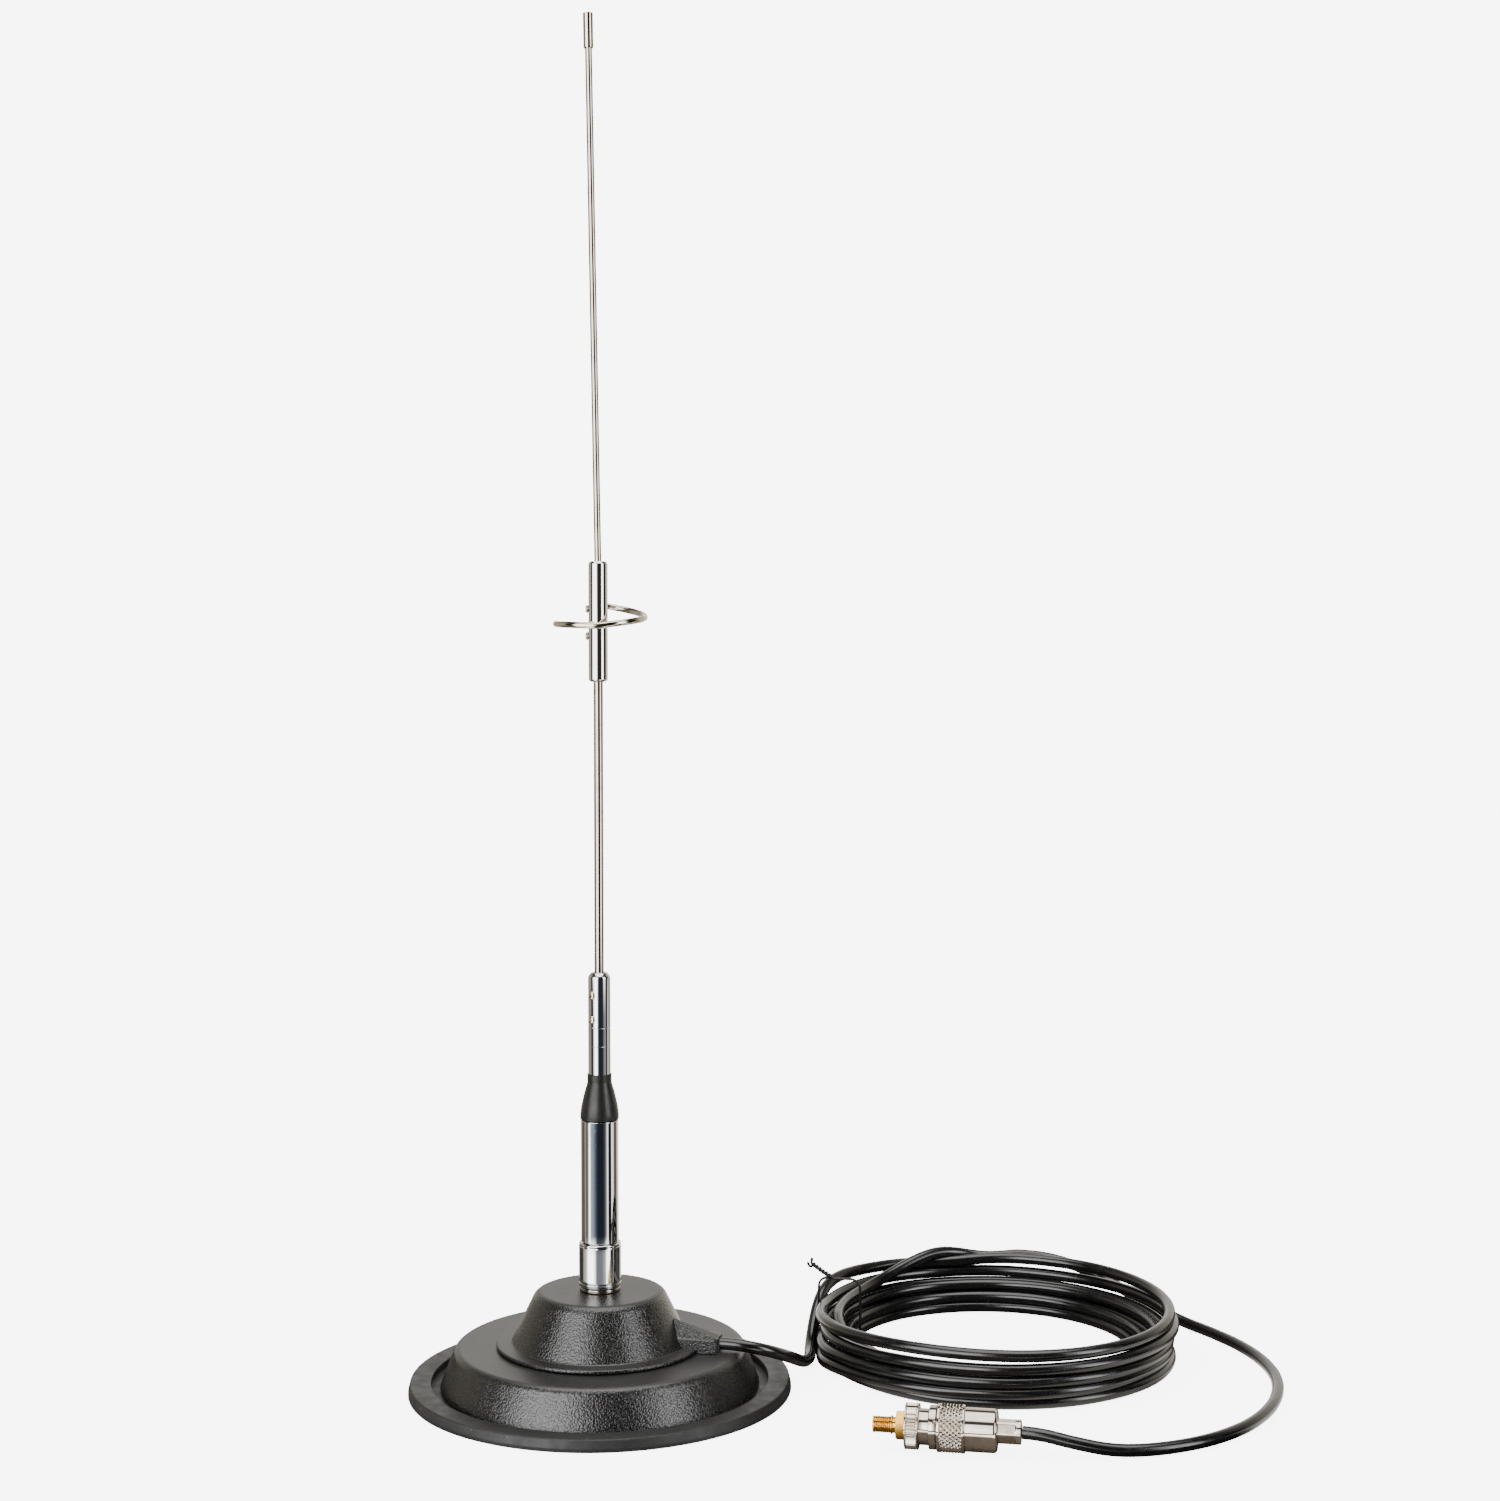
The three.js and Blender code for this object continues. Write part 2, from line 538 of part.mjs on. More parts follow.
function buildWhips() {
  const whips = new THREE.Group();
  const { bottom, top, radius } = LOWER_ROD;
  piece('lower_rod', bar(radius, top - bottom, ROUND.tiny, 0.4), material.chrome, whips, bottom);
  piece('middle_coupling', middleCoupling(), material.chrome, whips, COUPLING.bottom);
  piece('phasing_ring', phasingRing(), material.chrome, whips);
  const lean = Math.tan(radians(UPPER_ROD.lean)) * (COUPLING.top - UPPER_GRUBS[1]);
  const tips = [LOWER_ROD.radius + GAP + 0.05, UPPER_ROD.radius + GAP + 0.05 - lean];
  const screwEnd = COUPLING.radius + 1;
  addGrubScrews('coupling_grub_screw', UPPER_GRUBS, UPPER_GRUB_ANGLE, tips, screwEnd, material.nickel, whips);

  const upper = new THREE.Group();
  upper.position.z = COUPLING.top;
  upper.rotation.y = radians(-UPPER_ROD.lean);
  const rod = bar(UPPER_ROD.radius, UPPER_ROD.top - UPPER_ROD.bottom, ROUND.tiny, 0.3);
  piece('upper_rod', rod, material.chrome, upper, UPPER_ROD.bottom - COUPLING.top);
  piece('tip_cap', tipCap(), material.nickel, upper, TIP.bottom - COUPLING.top);
  whips.add(upper);
  return whips;
}

// ---------------------------------------------------------------- cable
function cableCoil() {
  const { outer, inner, height, corner } = COIL;
  return lathe([
    ...arcPoints(inner + corner, corner, corner, 180, 270, 2),
    ...arcPoints(outer - corner, corner, corner, 270, 360, 2),
    ...arcPoints(outer - corner, height - corner, corner, 0, 90, 2),
    ...arcPoints(inner + corner, height - corner, corner, 90, 180, 2),
    [inner, corner],
  ], ROUND.large);
}

// A flat wire tie that goes round the coil's section.
function twistTie() {
  const [thickness, width, clear] = [0.8, 2, 0.3];
  const { outer, inner, height } = COIL;
  const half = (outer - inner) / 2 + clear;
  const [low, high] = [-clear, height + clear];
  const [outside, above] = [half + thickness, high + thickness];
  const band = new THREE.Shape([
    new THREE.Vector2(-outside, low + 2), new THREE.Vector2(outside, low + 2),
    new THREE.Vector2(outside, above), new THREE.Vector2(-outside, above),
  ]);
  const space = new THREE.Shape([
    new THREE.Vector2(-half, low - 1), new THREE.Vector2(half, low - 1),
    new THREE.Vector2(half, high), new THREE.Vector2(-half, high),
  ]);
  const extrude = (shape, depth) => new THREE.ExtrudeGeometry(shape, { depth, bevelEnabled: false });
  const solid = extrude(band, width);
  const hole = extrude(space, width + 2).translate(0, 0, -1);
  return cut(solid, hole).translate(0, 0, -width / 2).rotateX(Math.PI / 2);
}

function buildCable() {
  const cable = new THREE.Group();
  piece('inner_cable', alongPath(INNER_ROUTE, CABLE.radius, 8, 12), material.cable, cable);
  piece('cable_lead', alongPath(LEAD_ROUTE, CABLE.radius, CABLE.sides, 14), material.cable, cable);
  piece('cable_tail', alongPath(TAIL_ROUTE, CABLE.radius, CABLE.sides, 34), material.cable, cable);
  const coil = piece('cable_coil', cableCoil(), material.cable, cable);
  coil.position.set(COIL.x, COIL.y, 0.05);
  const tie = piece('twist_tie', twistTie(), material.softPlastic, cable, 0.05);
  const tieAngle = radians(165);
  const middle = (COIL.outer + COIL.inner) / 2;
  tie.position.x = COIL.x + middle * Math.cos(tieAngle);
  tie.position.y = COIL.y + middle * Math.sin(tieAngle);
  tie.rotation.z = tieAngle;
  return cable;
}

// ---------------------------------------------------------------- plug and adapter
// Heights here run along the plug's axis from the cable entry.
function plugSleeve() {
  const [rear, front, rearHole, middleBore, threadBore] = [8.3, 9.1, 5.2, 7.35, 8.05];
  return lathe([
    [rearHole, 0], [rear - 0.6, 0], [rear, 0.6], [rear, 12.3], [front - 0.3, 12.3], [front, 12.7],
    [front, 22.6], [front - 0.4, 23], [threadBore, 23], [threadBore, 11.6], [middleBore, 11.6],
    [middleBore, 3.6], [rearHole, 3.6], [rearHole, 0],
  ], ROUND.medium);
}

function plugBody() {
  const [outer, rearBore, frontBore, length] = [7, 3.2, 5.5, 8.4];
  return lathe([
    [rearBore, 0], [outer - 0.3, 0], [outer, 0.3], [outer, length], [frontBore, length], [frontBore, 2.2],
    [rearBore, 2.2], [rearBore, 0],
  ], ROUND.medium);
}

// Threaded socket barrel, stop ring, neck and knurled ring in one turned body.
function adapterShell() {
  const [thread, stop, neck, knurl, mouth, rearBore] = [7.7, 8.25, 6.8, 8.65, 5.5, 4.1];
  return lathe([
    [mouth, 0], [thread - 0.4, 0], [thread, 0.4], [thread, 10.6], [stop, 10.6], [stop, 13.3], [neck, 13.3],
    [neck, 17.3], [knurl - 0.3, 17.3], [knurl, 17.6], [knurl, 22.3], [knurl - 0.3, 22.6], [rearBore, 22.6],
    [rearBore, 14], [mouth, 14], [mouth, 0],
  ], ROUND.medium);
}

function adapterContact() {
  const { contactBore, contactRadius } = PIN;
  return lathe([
    [contactBore, 0], [contactRadius, 0], [contactRadius, 12], [0.75, 12], [0.75, 31], [0, 31], [0, 11.2],
    [contactBore, 11.2], [contactBore, 0],
  ], ROUND.small);
}

// Gold end: a stub inside the knurled ring, a hexagon, a neck and the threaded barrel.
function smaShell() {
  const [stub, neck, barrel] = [3.8, 3, 3.15];
  const [hexFrom, hexTo, neckTo, end] = [4.4, 7.6, 9.6, 16.6];
  const turned = lathe([
    [0, 0], [stub, 0], [stub, hexTo], [neck, hexTo], [neck, neckTo], [barrel - 0.3, neckTo],
    [barrel, neckTo + 0.3], [barrel, end - 0.3], [barrel - 0.3, end], [0, end],
  ], ROUND.small);
  const hexagon = new THREE.ExtrudeGeometry(polygonShape(5.65, 6), {
    depth: hexTo - hexFrom,
    bevelEnabled: false,
  });
  const contactHole = drill(1.1, -1, neckTo + 0.1, ROUND.tiny);
  const mouth = drill(2.35, neckTo, end + 1);
  return cut(join(turned, hexagon.translate(0, 0, hexFrom)), contactHole, mouth);
}

function buildPlug() {
  const plug = new THREE.Group();
  plug.position.set(PLUG.x, PLUG.y, PLUG.z);
  plug.rotation.order = 'ZYX';
  plug.rotation.set(0, Math.PI / 2, radians(PLUG.heading));
  piece('crimp_ferrule', ring(4.65, CABLE.radius + 0.35, 12.5, ROUND.small), material.nickel, plug);
  piece('plug_sleeve', plugSleeve(), material.nickel, plug, 8.9);
  piece('plug_body', plugBody(), material.nickel, plug, 12.8);
  piece('plug_insulator', ring(5.2, PIN.radius + GAP, 5.6, ROUND.small), material.ptfe, plug, 15.3);
  piece('plug_pin', plugPin(18).rotateX(Math.PI), material.gold, plug, 32.5);
  piece('adapter_shell', adapterShell(), material.nickel, plug, 21.6);
  piece('adapter_insulator', ring(5.2, PIN.contactRadius + GAP, 10, ROUND.small), material.ptfe, plug, 25);
  piece('adapter_contact', adapterContact(), material.gold, plug, 22.8);
  piece('sma_shell', smaShell(), material.gold, plug, 40.1);
  piece('sma_insulator', ring(2.05, 1.05, 4.5, ROUND.tiny), material.ptfe, plug, 50.1);
  return plug;
}

const object = new THREE.Group();
object.add(buildBase(), buildAntenna(), buildWhips(), buildCable(), buildPlug());

export default object;
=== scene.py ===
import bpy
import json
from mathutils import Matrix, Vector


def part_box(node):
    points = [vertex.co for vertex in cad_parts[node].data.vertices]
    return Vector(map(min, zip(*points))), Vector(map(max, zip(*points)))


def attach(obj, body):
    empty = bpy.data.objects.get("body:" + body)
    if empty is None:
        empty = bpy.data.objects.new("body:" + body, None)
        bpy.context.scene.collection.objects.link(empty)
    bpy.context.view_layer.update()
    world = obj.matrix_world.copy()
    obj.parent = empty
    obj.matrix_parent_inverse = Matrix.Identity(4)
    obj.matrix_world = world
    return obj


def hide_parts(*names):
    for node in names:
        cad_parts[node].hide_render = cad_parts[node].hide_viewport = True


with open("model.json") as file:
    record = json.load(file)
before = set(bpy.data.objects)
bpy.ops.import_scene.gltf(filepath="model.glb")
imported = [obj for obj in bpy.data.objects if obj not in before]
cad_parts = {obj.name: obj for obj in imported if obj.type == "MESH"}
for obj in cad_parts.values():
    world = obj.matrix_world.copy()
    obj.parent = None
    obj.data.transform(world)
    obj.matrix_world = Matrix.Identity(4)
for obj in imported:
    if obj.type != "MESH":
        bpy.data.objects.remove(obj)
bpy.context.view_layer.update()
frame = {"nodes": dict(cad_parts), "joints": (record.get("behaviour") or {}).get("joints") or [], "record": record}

import json
import math

import bmesh
import bpy
import numpy as np
from mathutils import Matrix, Vector

MM = 0.001
TAU = 2 * math.pi
NODES = frame["nodes"]


def box_mm(node):
    """Lowest and highest corner of a CAD node, in millimetres."""
    low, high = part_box(node)
    return [v / MM for v in low], [v / MM for v in high]


def placed(name, data):
    """A new object in the scene."""
    made = bpy.data.objects.new(name, data)
    bpy.context.scene.collection.objects.link(made)
    return made


# ------------------------------------------------------------------ camera, fitted to the photo
CAMERA_PLACE = (0.062, -0.950, 0.309)  # metres
CAMERA_TILT = 2.7  # degrees below level
CAMERA_LENS = 55.776


def make_camera():
    camera = bpy.data.cameras.new("camera")
    camera.sensor_fit = "HORIZONTAL"
    camera.sensor_width = 36.0
    camera.lens = CAMERA_LENS
    camera.clip_start = 0.05
    camera.clip_end = 60.0
    holder = placed("camera", camera)
    holder.location = CAMERA_PLACE
    holder.rotation_euler = (math.radians(90 - CAMERA_TILT), 0, 0)
    bpy.context.scene.camera = holder


make_camera()

# ------------------------------------------------------------------ cable route, in millimetres
CABLE_DIAMETER = 5.0
LEAD_ROUTE = [
    (50, -10.6, 21.6), (56, -11.9, 21.5), (62.2, -12.4, 20.6), (68.3, -10.9, 18.9), (73.8, -7.2, 16.3),
    (78.2, -1.4, 13.2), (81.4, 6, 9.8), (83.8, 14, 6.6), (85.8, 22.4, 4.1), (87.4, 31, 2.8),
    (88.7, 38.5, 2.8),
]
CLIMB_ROUTE = [(90.2, 46, 4.2), (91, 53, 8.2), (91.6, 62, 14), (93.4, 72, 19.8), (97.4, 82, 23.6)]
TAIL_ROUTE = [
    (184.5, 122.8, 23), (200, 120, 22.2), (216, 114.5, 18.5), (231, 106, 12.5), (245, 95, 6.5),
    (257, 82, 3.2), (267, 66, 2.7), (275, 48, 2.7), (280, 28, 2.7), (281, 6, 2.7),
    (277, -16, 2.7), (268, -38, 2.7), (254, -58, 2.7), (236, -73, 2.7), (215, -82, 2.7),
    (199, -85, 3.6), (184, -85, 6.4), (173, -83.6, 8.7), (165.3, -82.05, 9.25),
]
COIL_LOW, COIL_HIGH = box_mm("cable_coil")
COIL_X = (COIL_LOW[0] + COIL_HIGH[0]) / 2
COIL_Y = (COIL_LOW[1] + COIL_HIGH[1]) / 2
# Radius and height of each turn of the coil, from the top strand that the lead climbs to.
COIL_TURNS = [
    (73.4, 24.3), (73.8, 18.8), (73.0, 13.5), (73.9, 8.1), (72.8, 2.7), (67.4, 2.7),
    (67.9, 8.1), (61.8, 2.7), (62.4, 8.2), (67.6, 13.6), (66.8, 19.0), (66.2, 24.6),
]
COIL_SPREAD = 1.31  # added to every radius, so that the whole cable has its length


def ease(t):
    t = min(1.0, max(0.0, t))
    return t * t * (3 - 2 * t)


def between(a, b, start, end, at):
    """Where a line that is at a at the start and at b at the end is now."""
    return ((end - at) * a + (at - start) * b) / (end - start)


def smooth_line(points, step):
    """Points about a step apart on a centripetal Catmull-Rom curve."""
    p = np.array(points, float)
    ends = np.vstack([2 * p[0] - p[1], p, 2 * p[-1] - p[-2]])
    line = []
    for i in range(1, len(ends) - 2):
        a, b, c, d = ends[i - 1 : i + 3]
        t = np.cumsum([0] + [math.sqrt(np.linalg.norm(v)) for v in (b - a, c - b, d - c)])
        count = max(2, int(np.linalg.norm(c - b) / step))
        for k in range(count):
            u = t[1] + (t[2] - t[1]) * k / count
            ab, bc = between(a, b, t[0], t[1], u), between(b, c, t[1], t[2], u)
            cd = between(c, d, t[2], t[3], u)
            abc, bcd = between(ab, bc, t[0], t[2], u), between(bc, cd, t[1], t[3], u)
            line.append(between(abc, bcd, t[1], t[2], u))
    line.append(p[-1])
    return np.array(line)


def resampled(line, step):
    along = np.concatenate([[0], np.cumsum(np.linalg.norm(np.diff(line, axis=0), axis=1))])
    at = np.linspace(0, along[-1], int(round(along[-1] / step)) + 1)
    return np.column_stack([np.interp(at, along, line[:, i]) for i in range(3)])


def azimuth_of(point):
    return math.degrees(math.atan2(point[1] - COIL_Y, point[0] - COIL_X))


def coil_line(per_turn=24):
    """The turns between the climb and the tail, wound clockwise as seen from above."""
    entry_radius, exit_radius, exit_height = 79.7, 79.5, 23
    entry_sweep, exit_sweep = 50, 60  # degrees
    hump, hump_before_exit, hump_spread = 5, 34, 17  # mm, then degrees: where the end crosses the other turns
    first, last = CLIMB_ROUTE[-1], TAIL_ROUTE[0]
    swept = 360 * (len(COIL_TURNS) - 2) + azimuth_of(first) - azimuth_of(last)
    count = int(swept / 360 * per_turn)
    points = []
    for k in range(1, count):
        travelled = swept * k / count
        angle = math.radians(azimuth_of(first) - travelled)
        turn = int(travelled / 360)
        part = ease((travelled / 360 - turn - 0.72) / 0.28)
        (r0, z0), (r1, z1) = COIL_TURNS[turn], COIL_TURNS[turn + 1]
        loose = 1.0 if 0 < turn < len(COIL_TURNS) - 2 else 0.3
        radius = r0 + (r1 - r0) * part + COIL_SPREAD + 1.3 * loose * math.sin(angle + 1.7 * turn)
        height = z0 + (z1 - z0) * part + 0.5 * math.sin(2 * angle + 2.3 * turn)
        radius = entry_radius + (radius - entry_radius) * ease(travelled / entry_sweep)
        left = swept - travelled
        radius = exit_radius + (radius - exit_radius) * ease(left / exit_sweep)
        height = exit_height + (height - exit_height) * ease(left / exit_sweep)
        height += hump * math.exp(-(((left - hump_before_exit) / hump_spread) ** 2))
        points.append((COIL_X + radius * math.cos(angle), COIL_Y + radius * math.sin(angle), height))
    return points


def settled(line, fixed, rounds=200):
    """Pushes strands that lie in each other apart, lets them sink, and evens out their bends."""
    apart, push_share, stiffness, homing, sinking = CABLE_DIAMETER * 1.016, 0.45, 0.03, 0.0006, 0.012
    home = line.copy()
    index = np.arange(len(line))
    for step in range(rounds):
        if step % 20 == 0:
            gaps = np.linalg.norm(line[:, None] - line[None], axis=2)
            close = (gaps < apart + 3) & (index[None] - index[:, None] > 4)
            a, b = np.nonzero(close)
        offset = line[a] - line[b]
        gap = np.maximum(np.linalg.norm(offset, axis=1), 1e-6)
        lack = np.maximum(apart - gap, 0) / gap
        push = np.zeros_like(line)
        np.add.at(push, a, offset * lack[:, None])
        np.add.at(push, b, -offset * lack[:, None])
        touching = np.bincount(np.concatenate([a, b]), np.tile(lack > 0, 2), len(line))
        push *= push_share / np.maximum(touching, 1)[:, None]
        bend = np.zeros_like(line)
        bend[2:-2] = line[:-4] - 4 * line[1:-3] + 6 * line[2:-2] - 4 * line[3:-1] + line[4:]
        move = push - stiffness * bend + homing * (home - line)
        move[:, 2] -= sinking
        move[fixed] = 0
        line = line + move
        line[:, 2] = np.maximum(line[:, 2], CABLE_DIAMETER / 2 + 0.05)
    return line


def cable_line():
    whole = LEAD_ROUTE + CLIMB_ROUTE + coil_line() + TAIL_ROUTE
    line = resampled(smooth_line(whole, 2), CABLE_DIAMETER)
    held = LEAD_ROUTE[-1], TAIL_ROUTE[0]
    nearest = [int(np.argmin(np.linalg.norm(line - np.array(p), axis=1))) for p in held]
    fixed = np.ones(len(line), bool)
    fixed[nearest[0] : nearest[1]] = False
    return settled(line, fixed)


# ------------------------------------------------------------------ mesh helpers
def mesh_of(name, points, faces):
    """A mesh from points in millimetres."""
    mesh = bpy.data.meshes.new(name)
    mesh.from_pydata([tuple(c * MM for c in p) for p in points], [], faces)
    return mesh


def weld(mesh):
    """Merges doubled points and turns every face outward."""
    clean = bmesh.new()
    clean.from_mesh(mesh)
    bmesh.ops.remove_doubles(clean, verts=clean.verts, dist=1e-7)
    bmesh.ops.recalc_face_normals(clean, faces=clean.faces)
    clean.to_mesh(mesh)
    clean.free()


def new_piece(name, shape, body, slot, replaced, finish=None, sharp=32):
    """A piece from points and faces, or from a mesh, smooth apart from edges sharper than an angle."""
    mesh = shape if isinstance(shape, bpy.types.Mesh) else mesh_of(name, *shape)
    weld(mesh)
    mesh.polygons.foreach_set("use_smooth", [True] * len(mesh.polygons))
    mesh.set_sharp_from_angle(angle=math.radians(sharp))
    mesh.materials.append(finish or SLOT_FINISH[slot])
    piece = placed(name, mesh)
    piece.modifiers.new("weighted", "WEIGHTED_NORMAL").keep_sharp = True
    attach(piece, body)
    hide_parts(*replaced)
    return piece


def strips(rows, count):
    """The faces between neighbouring rows of points, where every row is a closed loop."""
    faces = []
    for i in range(rows - 1):
        for k in range(count):
            a, b = i * count + k, i * count + (k + 1) % count
            faces.append((a, b, b + count, a + count))
    return faces


def capped(rows, count):
    """The same with a face on each end."""
    last = (rows - 1) * count
    return strips(rows, count) + [tuple(range(count))[::-1], tuple(range(last, last + count))]


def sweep(line, radius, sides, domed=False):
    """Points and faces of a round bar along a line, with flat or domed ends."""
    line = np.array(line, float)
    tangent = np.gradient(line, axis=0)
    tangent /= np.linalg.norm(tangent, axis=1)[:, None]
    normal = np.cross(tangent[0], (0.1, 0.2, 1.0))
    normal /= np.linalg.norm(normal)
    rings = []
    for i, at in enumerate(line):
        normal = normal - tangent[i] * np.dot(normal, tangent[i])
        normal /= np.linalg.norm(normal)
        side = np.cross(tangent[i], normal)
        rings.append((at, tangent[i], normal.copy(), side))
    dome = [math.radians(a) for a in (25, 50, 75)] if domed else []
    stations = [(rings[0], -math.sin(a), math.cos(a)) for a in dome[::-1]]
    stations += [(ring, 0.0, 1.0) for ring in rings]
    stations += [(rings[-1], math.sin(a), math.cos(a)) for a in dome]
    points = []
    for (at, way, u, v), forward, width in stations:
        for k in range(sides):
            angle = TAU * k / sides
            round_ = u * math.cos(angle) + v * math.sin(angle)
            points.append(tuple(at + way * forward * radius + round_ * radius * width))
    return points, capped(len(stations), sides)


def rounded(corners, closed=False, step=15):
    """An outline whose corners (x, y, fillet) become arcs, with a point every few degrees."""
    outline = []
    for i, corner in enumerate(corners):
        here = np.array(corner[:2], float)
        inside = closed or 0 < i < len(corners) - 1
        if len(corner) < 3 or not inside:
            outline.append(tuple(here))
            continue
        before = np.array(corners[i - 1][:2]) - here
        after = np.array(corners[(i + 1) % len(corners)][:2]) - here
        lengths = np.linalg.norm(before), np.linalg.norm(after)
        u, v = before / lengths[0], after / lengths[1]
        half = math.acos(np.clip(np.dot(u, v), -1, 1)) / 2
        reach = min(corner[2] / math.tan(half), 0.48 * min(lengths))
        middle = (u + v) / np.linalg.norm(u + v)
        centre = here + middle * reach / math.cos(half)
        start, end = here + u * reach - centre, here + v * reach - centre
        turn = math.copysign(math.pi - 2 * half, start[0] * end[1] - start[1] * end[0])
        steps = max(2, math.ceil(abs(math.degrees(turn)) / step))
        for k in range(steps + 1):
            c, s = math.cos(turn * k / steps), math.sin(turn * k / steps)
            outline.append((centre[0] + start[0] * c - start[1] * s, centre[1] + start[0] * s + start[1] * c))
    return outline


def stretch(radius, start, end, step):
    """Outline points at one radius, close enough together to carry a thread or a knurl."""
    count = max(2, round(abs(end - start) / step))
    return [(radius, start + (end - start) * k / count) for k in range(count + 1)]


def lathe(outline, segments, shape=None):
    """Points and faces of the solid that an outline (radius, height) sweeps round the Z axis.

    An outline that starts and ends on the axis makes a solid; any other is closed into a ring.
    shape(radius, height, angle) may move the surface in or out, for a thread or a knurl.
    """
    points = []
    for radius, height in outline:
        for k in range(segments):
            angle = TAU * k / segments
            at = shape(radius, height, angle) if shape else radius
            points.append((at * math.cos(angle), at * math.sin(angle), height))
    solid = outline[0][0] == 0 and outline[-1][0] == 0
    faces = strips(len(outline) + (not solid), segments)
    return points, [tuple(v % len(points) for v in face) for face in faces]


def moved(solid, matrix):
    points, faces = solid
    return [tuple(matrix @ Vector(p)) for p in points], faces


def prism(section, bottom, top):
    """A solid with a convex section (x, y) between two heights."""
    return [(x, y, z) for z in (bottom, top) for x, y in section], capped(2, len(section))


def hexagon(across_flats):
    corner = across_flats / math.sqrt(3)
    return [(corner * math.cos(TAU * k / 6), corner * math.sin(TAU * k / 6)) for k in range(6)]


def solid_mesh(solid):
    mesh = mesh_of("temporary", *solid)
    weld(mesh)
    return mesh


def carved(mesh, cuts=(), joins=()):
    """The mesh with other solids joined to it and then others cut out of it."""
    holders = [placed("temporary", mesh)]
    for operation, tools in (("UNION", joins), ("DIFFERENCE", cuts)):
        for tool in tools:
            holders.append(placed("temporary", solid_mesh(tool)))
            modifier = holders[0].modifiers.new("carve", "BOOLEAN")
            modifier.operation = operation
            modifier.solver = "EXACT"
            modifier.object = holders[-1]
    graph = bpy.context.evaluated_depsgraph_get()
    result = bpy.data.meshes.new_from_object(holders[0].evaluated_get(graph))
    for holder in holders:
        bpy.data.objects.remove(holder)
    return result


def bar(radius, bottom, top, segments):
    return lathe([(0, bottom), (radius, bottom), (radius, top), (0, top)], segments)


def lying(place, angle):
    """Turns something that stands on Z to lie level at a place, its top outward at an angle about Z."""
    turn = Matrix.Rotation(math.radians(angle), 4, "Z") @ Matrix.Rotation(math.pi / 2, 4, "Y")
    return Matrix.Translation(place) @ turn


def side_drill(radius, start, end, height, angle):
    """A drill along a level line, pointing outward at an angle in degrees about Z."""
    return moved(bar(radius, start, end, 48), lying((0, 0, height), angle))


def triangle_wave(t):
    """0 at whole numbers and 1 half way between them."""
    return 1 - abs(2 * (t % 1) - 1)


def thread(start, end, pitch, depth, radius, runout=0.8):
    """A shape for lathe(): a screw thread on the stretch of one radius between two heights."""
    def shape(r, z, angle):
        if abs(r - radius) > 1e-6 or not start <= z <= end:
            return r
        fade = min(1.0, (z - start) / runout, (end - z) / runout)
        flank = triangle_wave(z / pitch - angle / TAU)
        return r - depth * (1 - min(1.0, max(0.0, flank * 1.35 - 0.17))) * fade
    return shape


def outer_size(node):
    """Radius, bottom and top of a CAD node that stands round the Z axis."""
    low, high = box_mm(node)
    return max(high[0], high[1]), low[2], high[2]


# ------------------------------------------------------------------ procedural finishes
class Nodes:
    """Short names for the shader nodes of one node tree."""

    def __init__(self, tree):
        self.tree = tree

    def node(self, kind, inputs=None, **settings):
        made = self.tree.nodes.new("ShaderNode" + kind)
        for key, value in settings.items():
            setattr(made, key, value)
        for key, value in (inputs or {}).items():
            if isinstance(value, bpy.types.NodeSocket):
                self.tree.links.new(value, made.inputs[key])
            else:
                made.inputs[key].default_value = value
        return made

    def math(self, operation, a, b=0.0, c=0.0):
        return self.node("Math", {0: a, 1: b, 2: c}, operation=operation).outputs[0]

    def plus(self, base, more, share):
        return self.math("MULTIPLY_ADD", more, share, base)

    def span(self, value, low, high, to_low=0.0, to_high=1.0):
        inputs = {"Value": value, "From Min": low, "From Max": high, "To Min": to_low, "To Max": to_high}
        return self.node("MapRange", inputs, interpolation_type="SMOOTHSTEP").outputs[0]

    def mix(self, share, a, b):
        a, b = ((*color, 1) if isinstance(color, tuple) else color for color in (a, b))
        return self.node("Mix", {0: share, 6: a, 7: b}, data_type="RGBA").outputs[2]


class Finish(Nodes):
    """A Principled material whose colour, roughness and relief come from procedural textures."""

    def __init__(self, name, **sockets):
        self.material = bpy.data.materials.new(name)
        self.material.use_nodes = True
        super().__init__(self.material.node_tree)
        self.shader = self.tree.nodes["Principled BSDF"]
        for key, value in sockets.items():
            self.shader.inputs[key.replace("_", " ")].default_value = value
        self.place = self.node("TexCoord").outputs["Object"]

    def stretched(self, scale):
        return self.node("Mapping", {"Vector": self.place, "Scale": scale}).outputs[0]

    def noise(self, scale, detail=3.0, distortion=0.0, place=None):
        inputs = {"Vector": place or self.place, "Scale": scale, "Detail": detail, "Distortion": distortion}
        return self.node("TexNoise", inputs).outputs[0]

    def specks(self, scale, size):
        """Scattered dots: 1 in a dot, 0 elsewhere. Dots have all sizes up to the one given, in cells."""
        cells = self.node("TexVoronoi", {"Vector": self.place, "Scale": scale})
        chance = self.node("SeparateColor", {"Color": cells.outputs["Color"]}).outputs[0]
        reach = self.math("MULTIPLY", self.math("POWER", chance, 3.0), size)
        return self.math("LESS_THAN", cells.outputs["Distance"], reach)

    def set(self, color, roughness, relief, depth, strength):
        """Links the textures to the shader. The relief's depth is in metres."""
        bump = self.node("Bump", {"Height": relief, "Strength": strength, "Distance": depth}).outputs[0]
        for key, value in (("Base Color", color), ("Roughness", roughness), ("Normal", bump)):
            self.tree.links.new(value, self.shader.inputs[key])
        return self.material


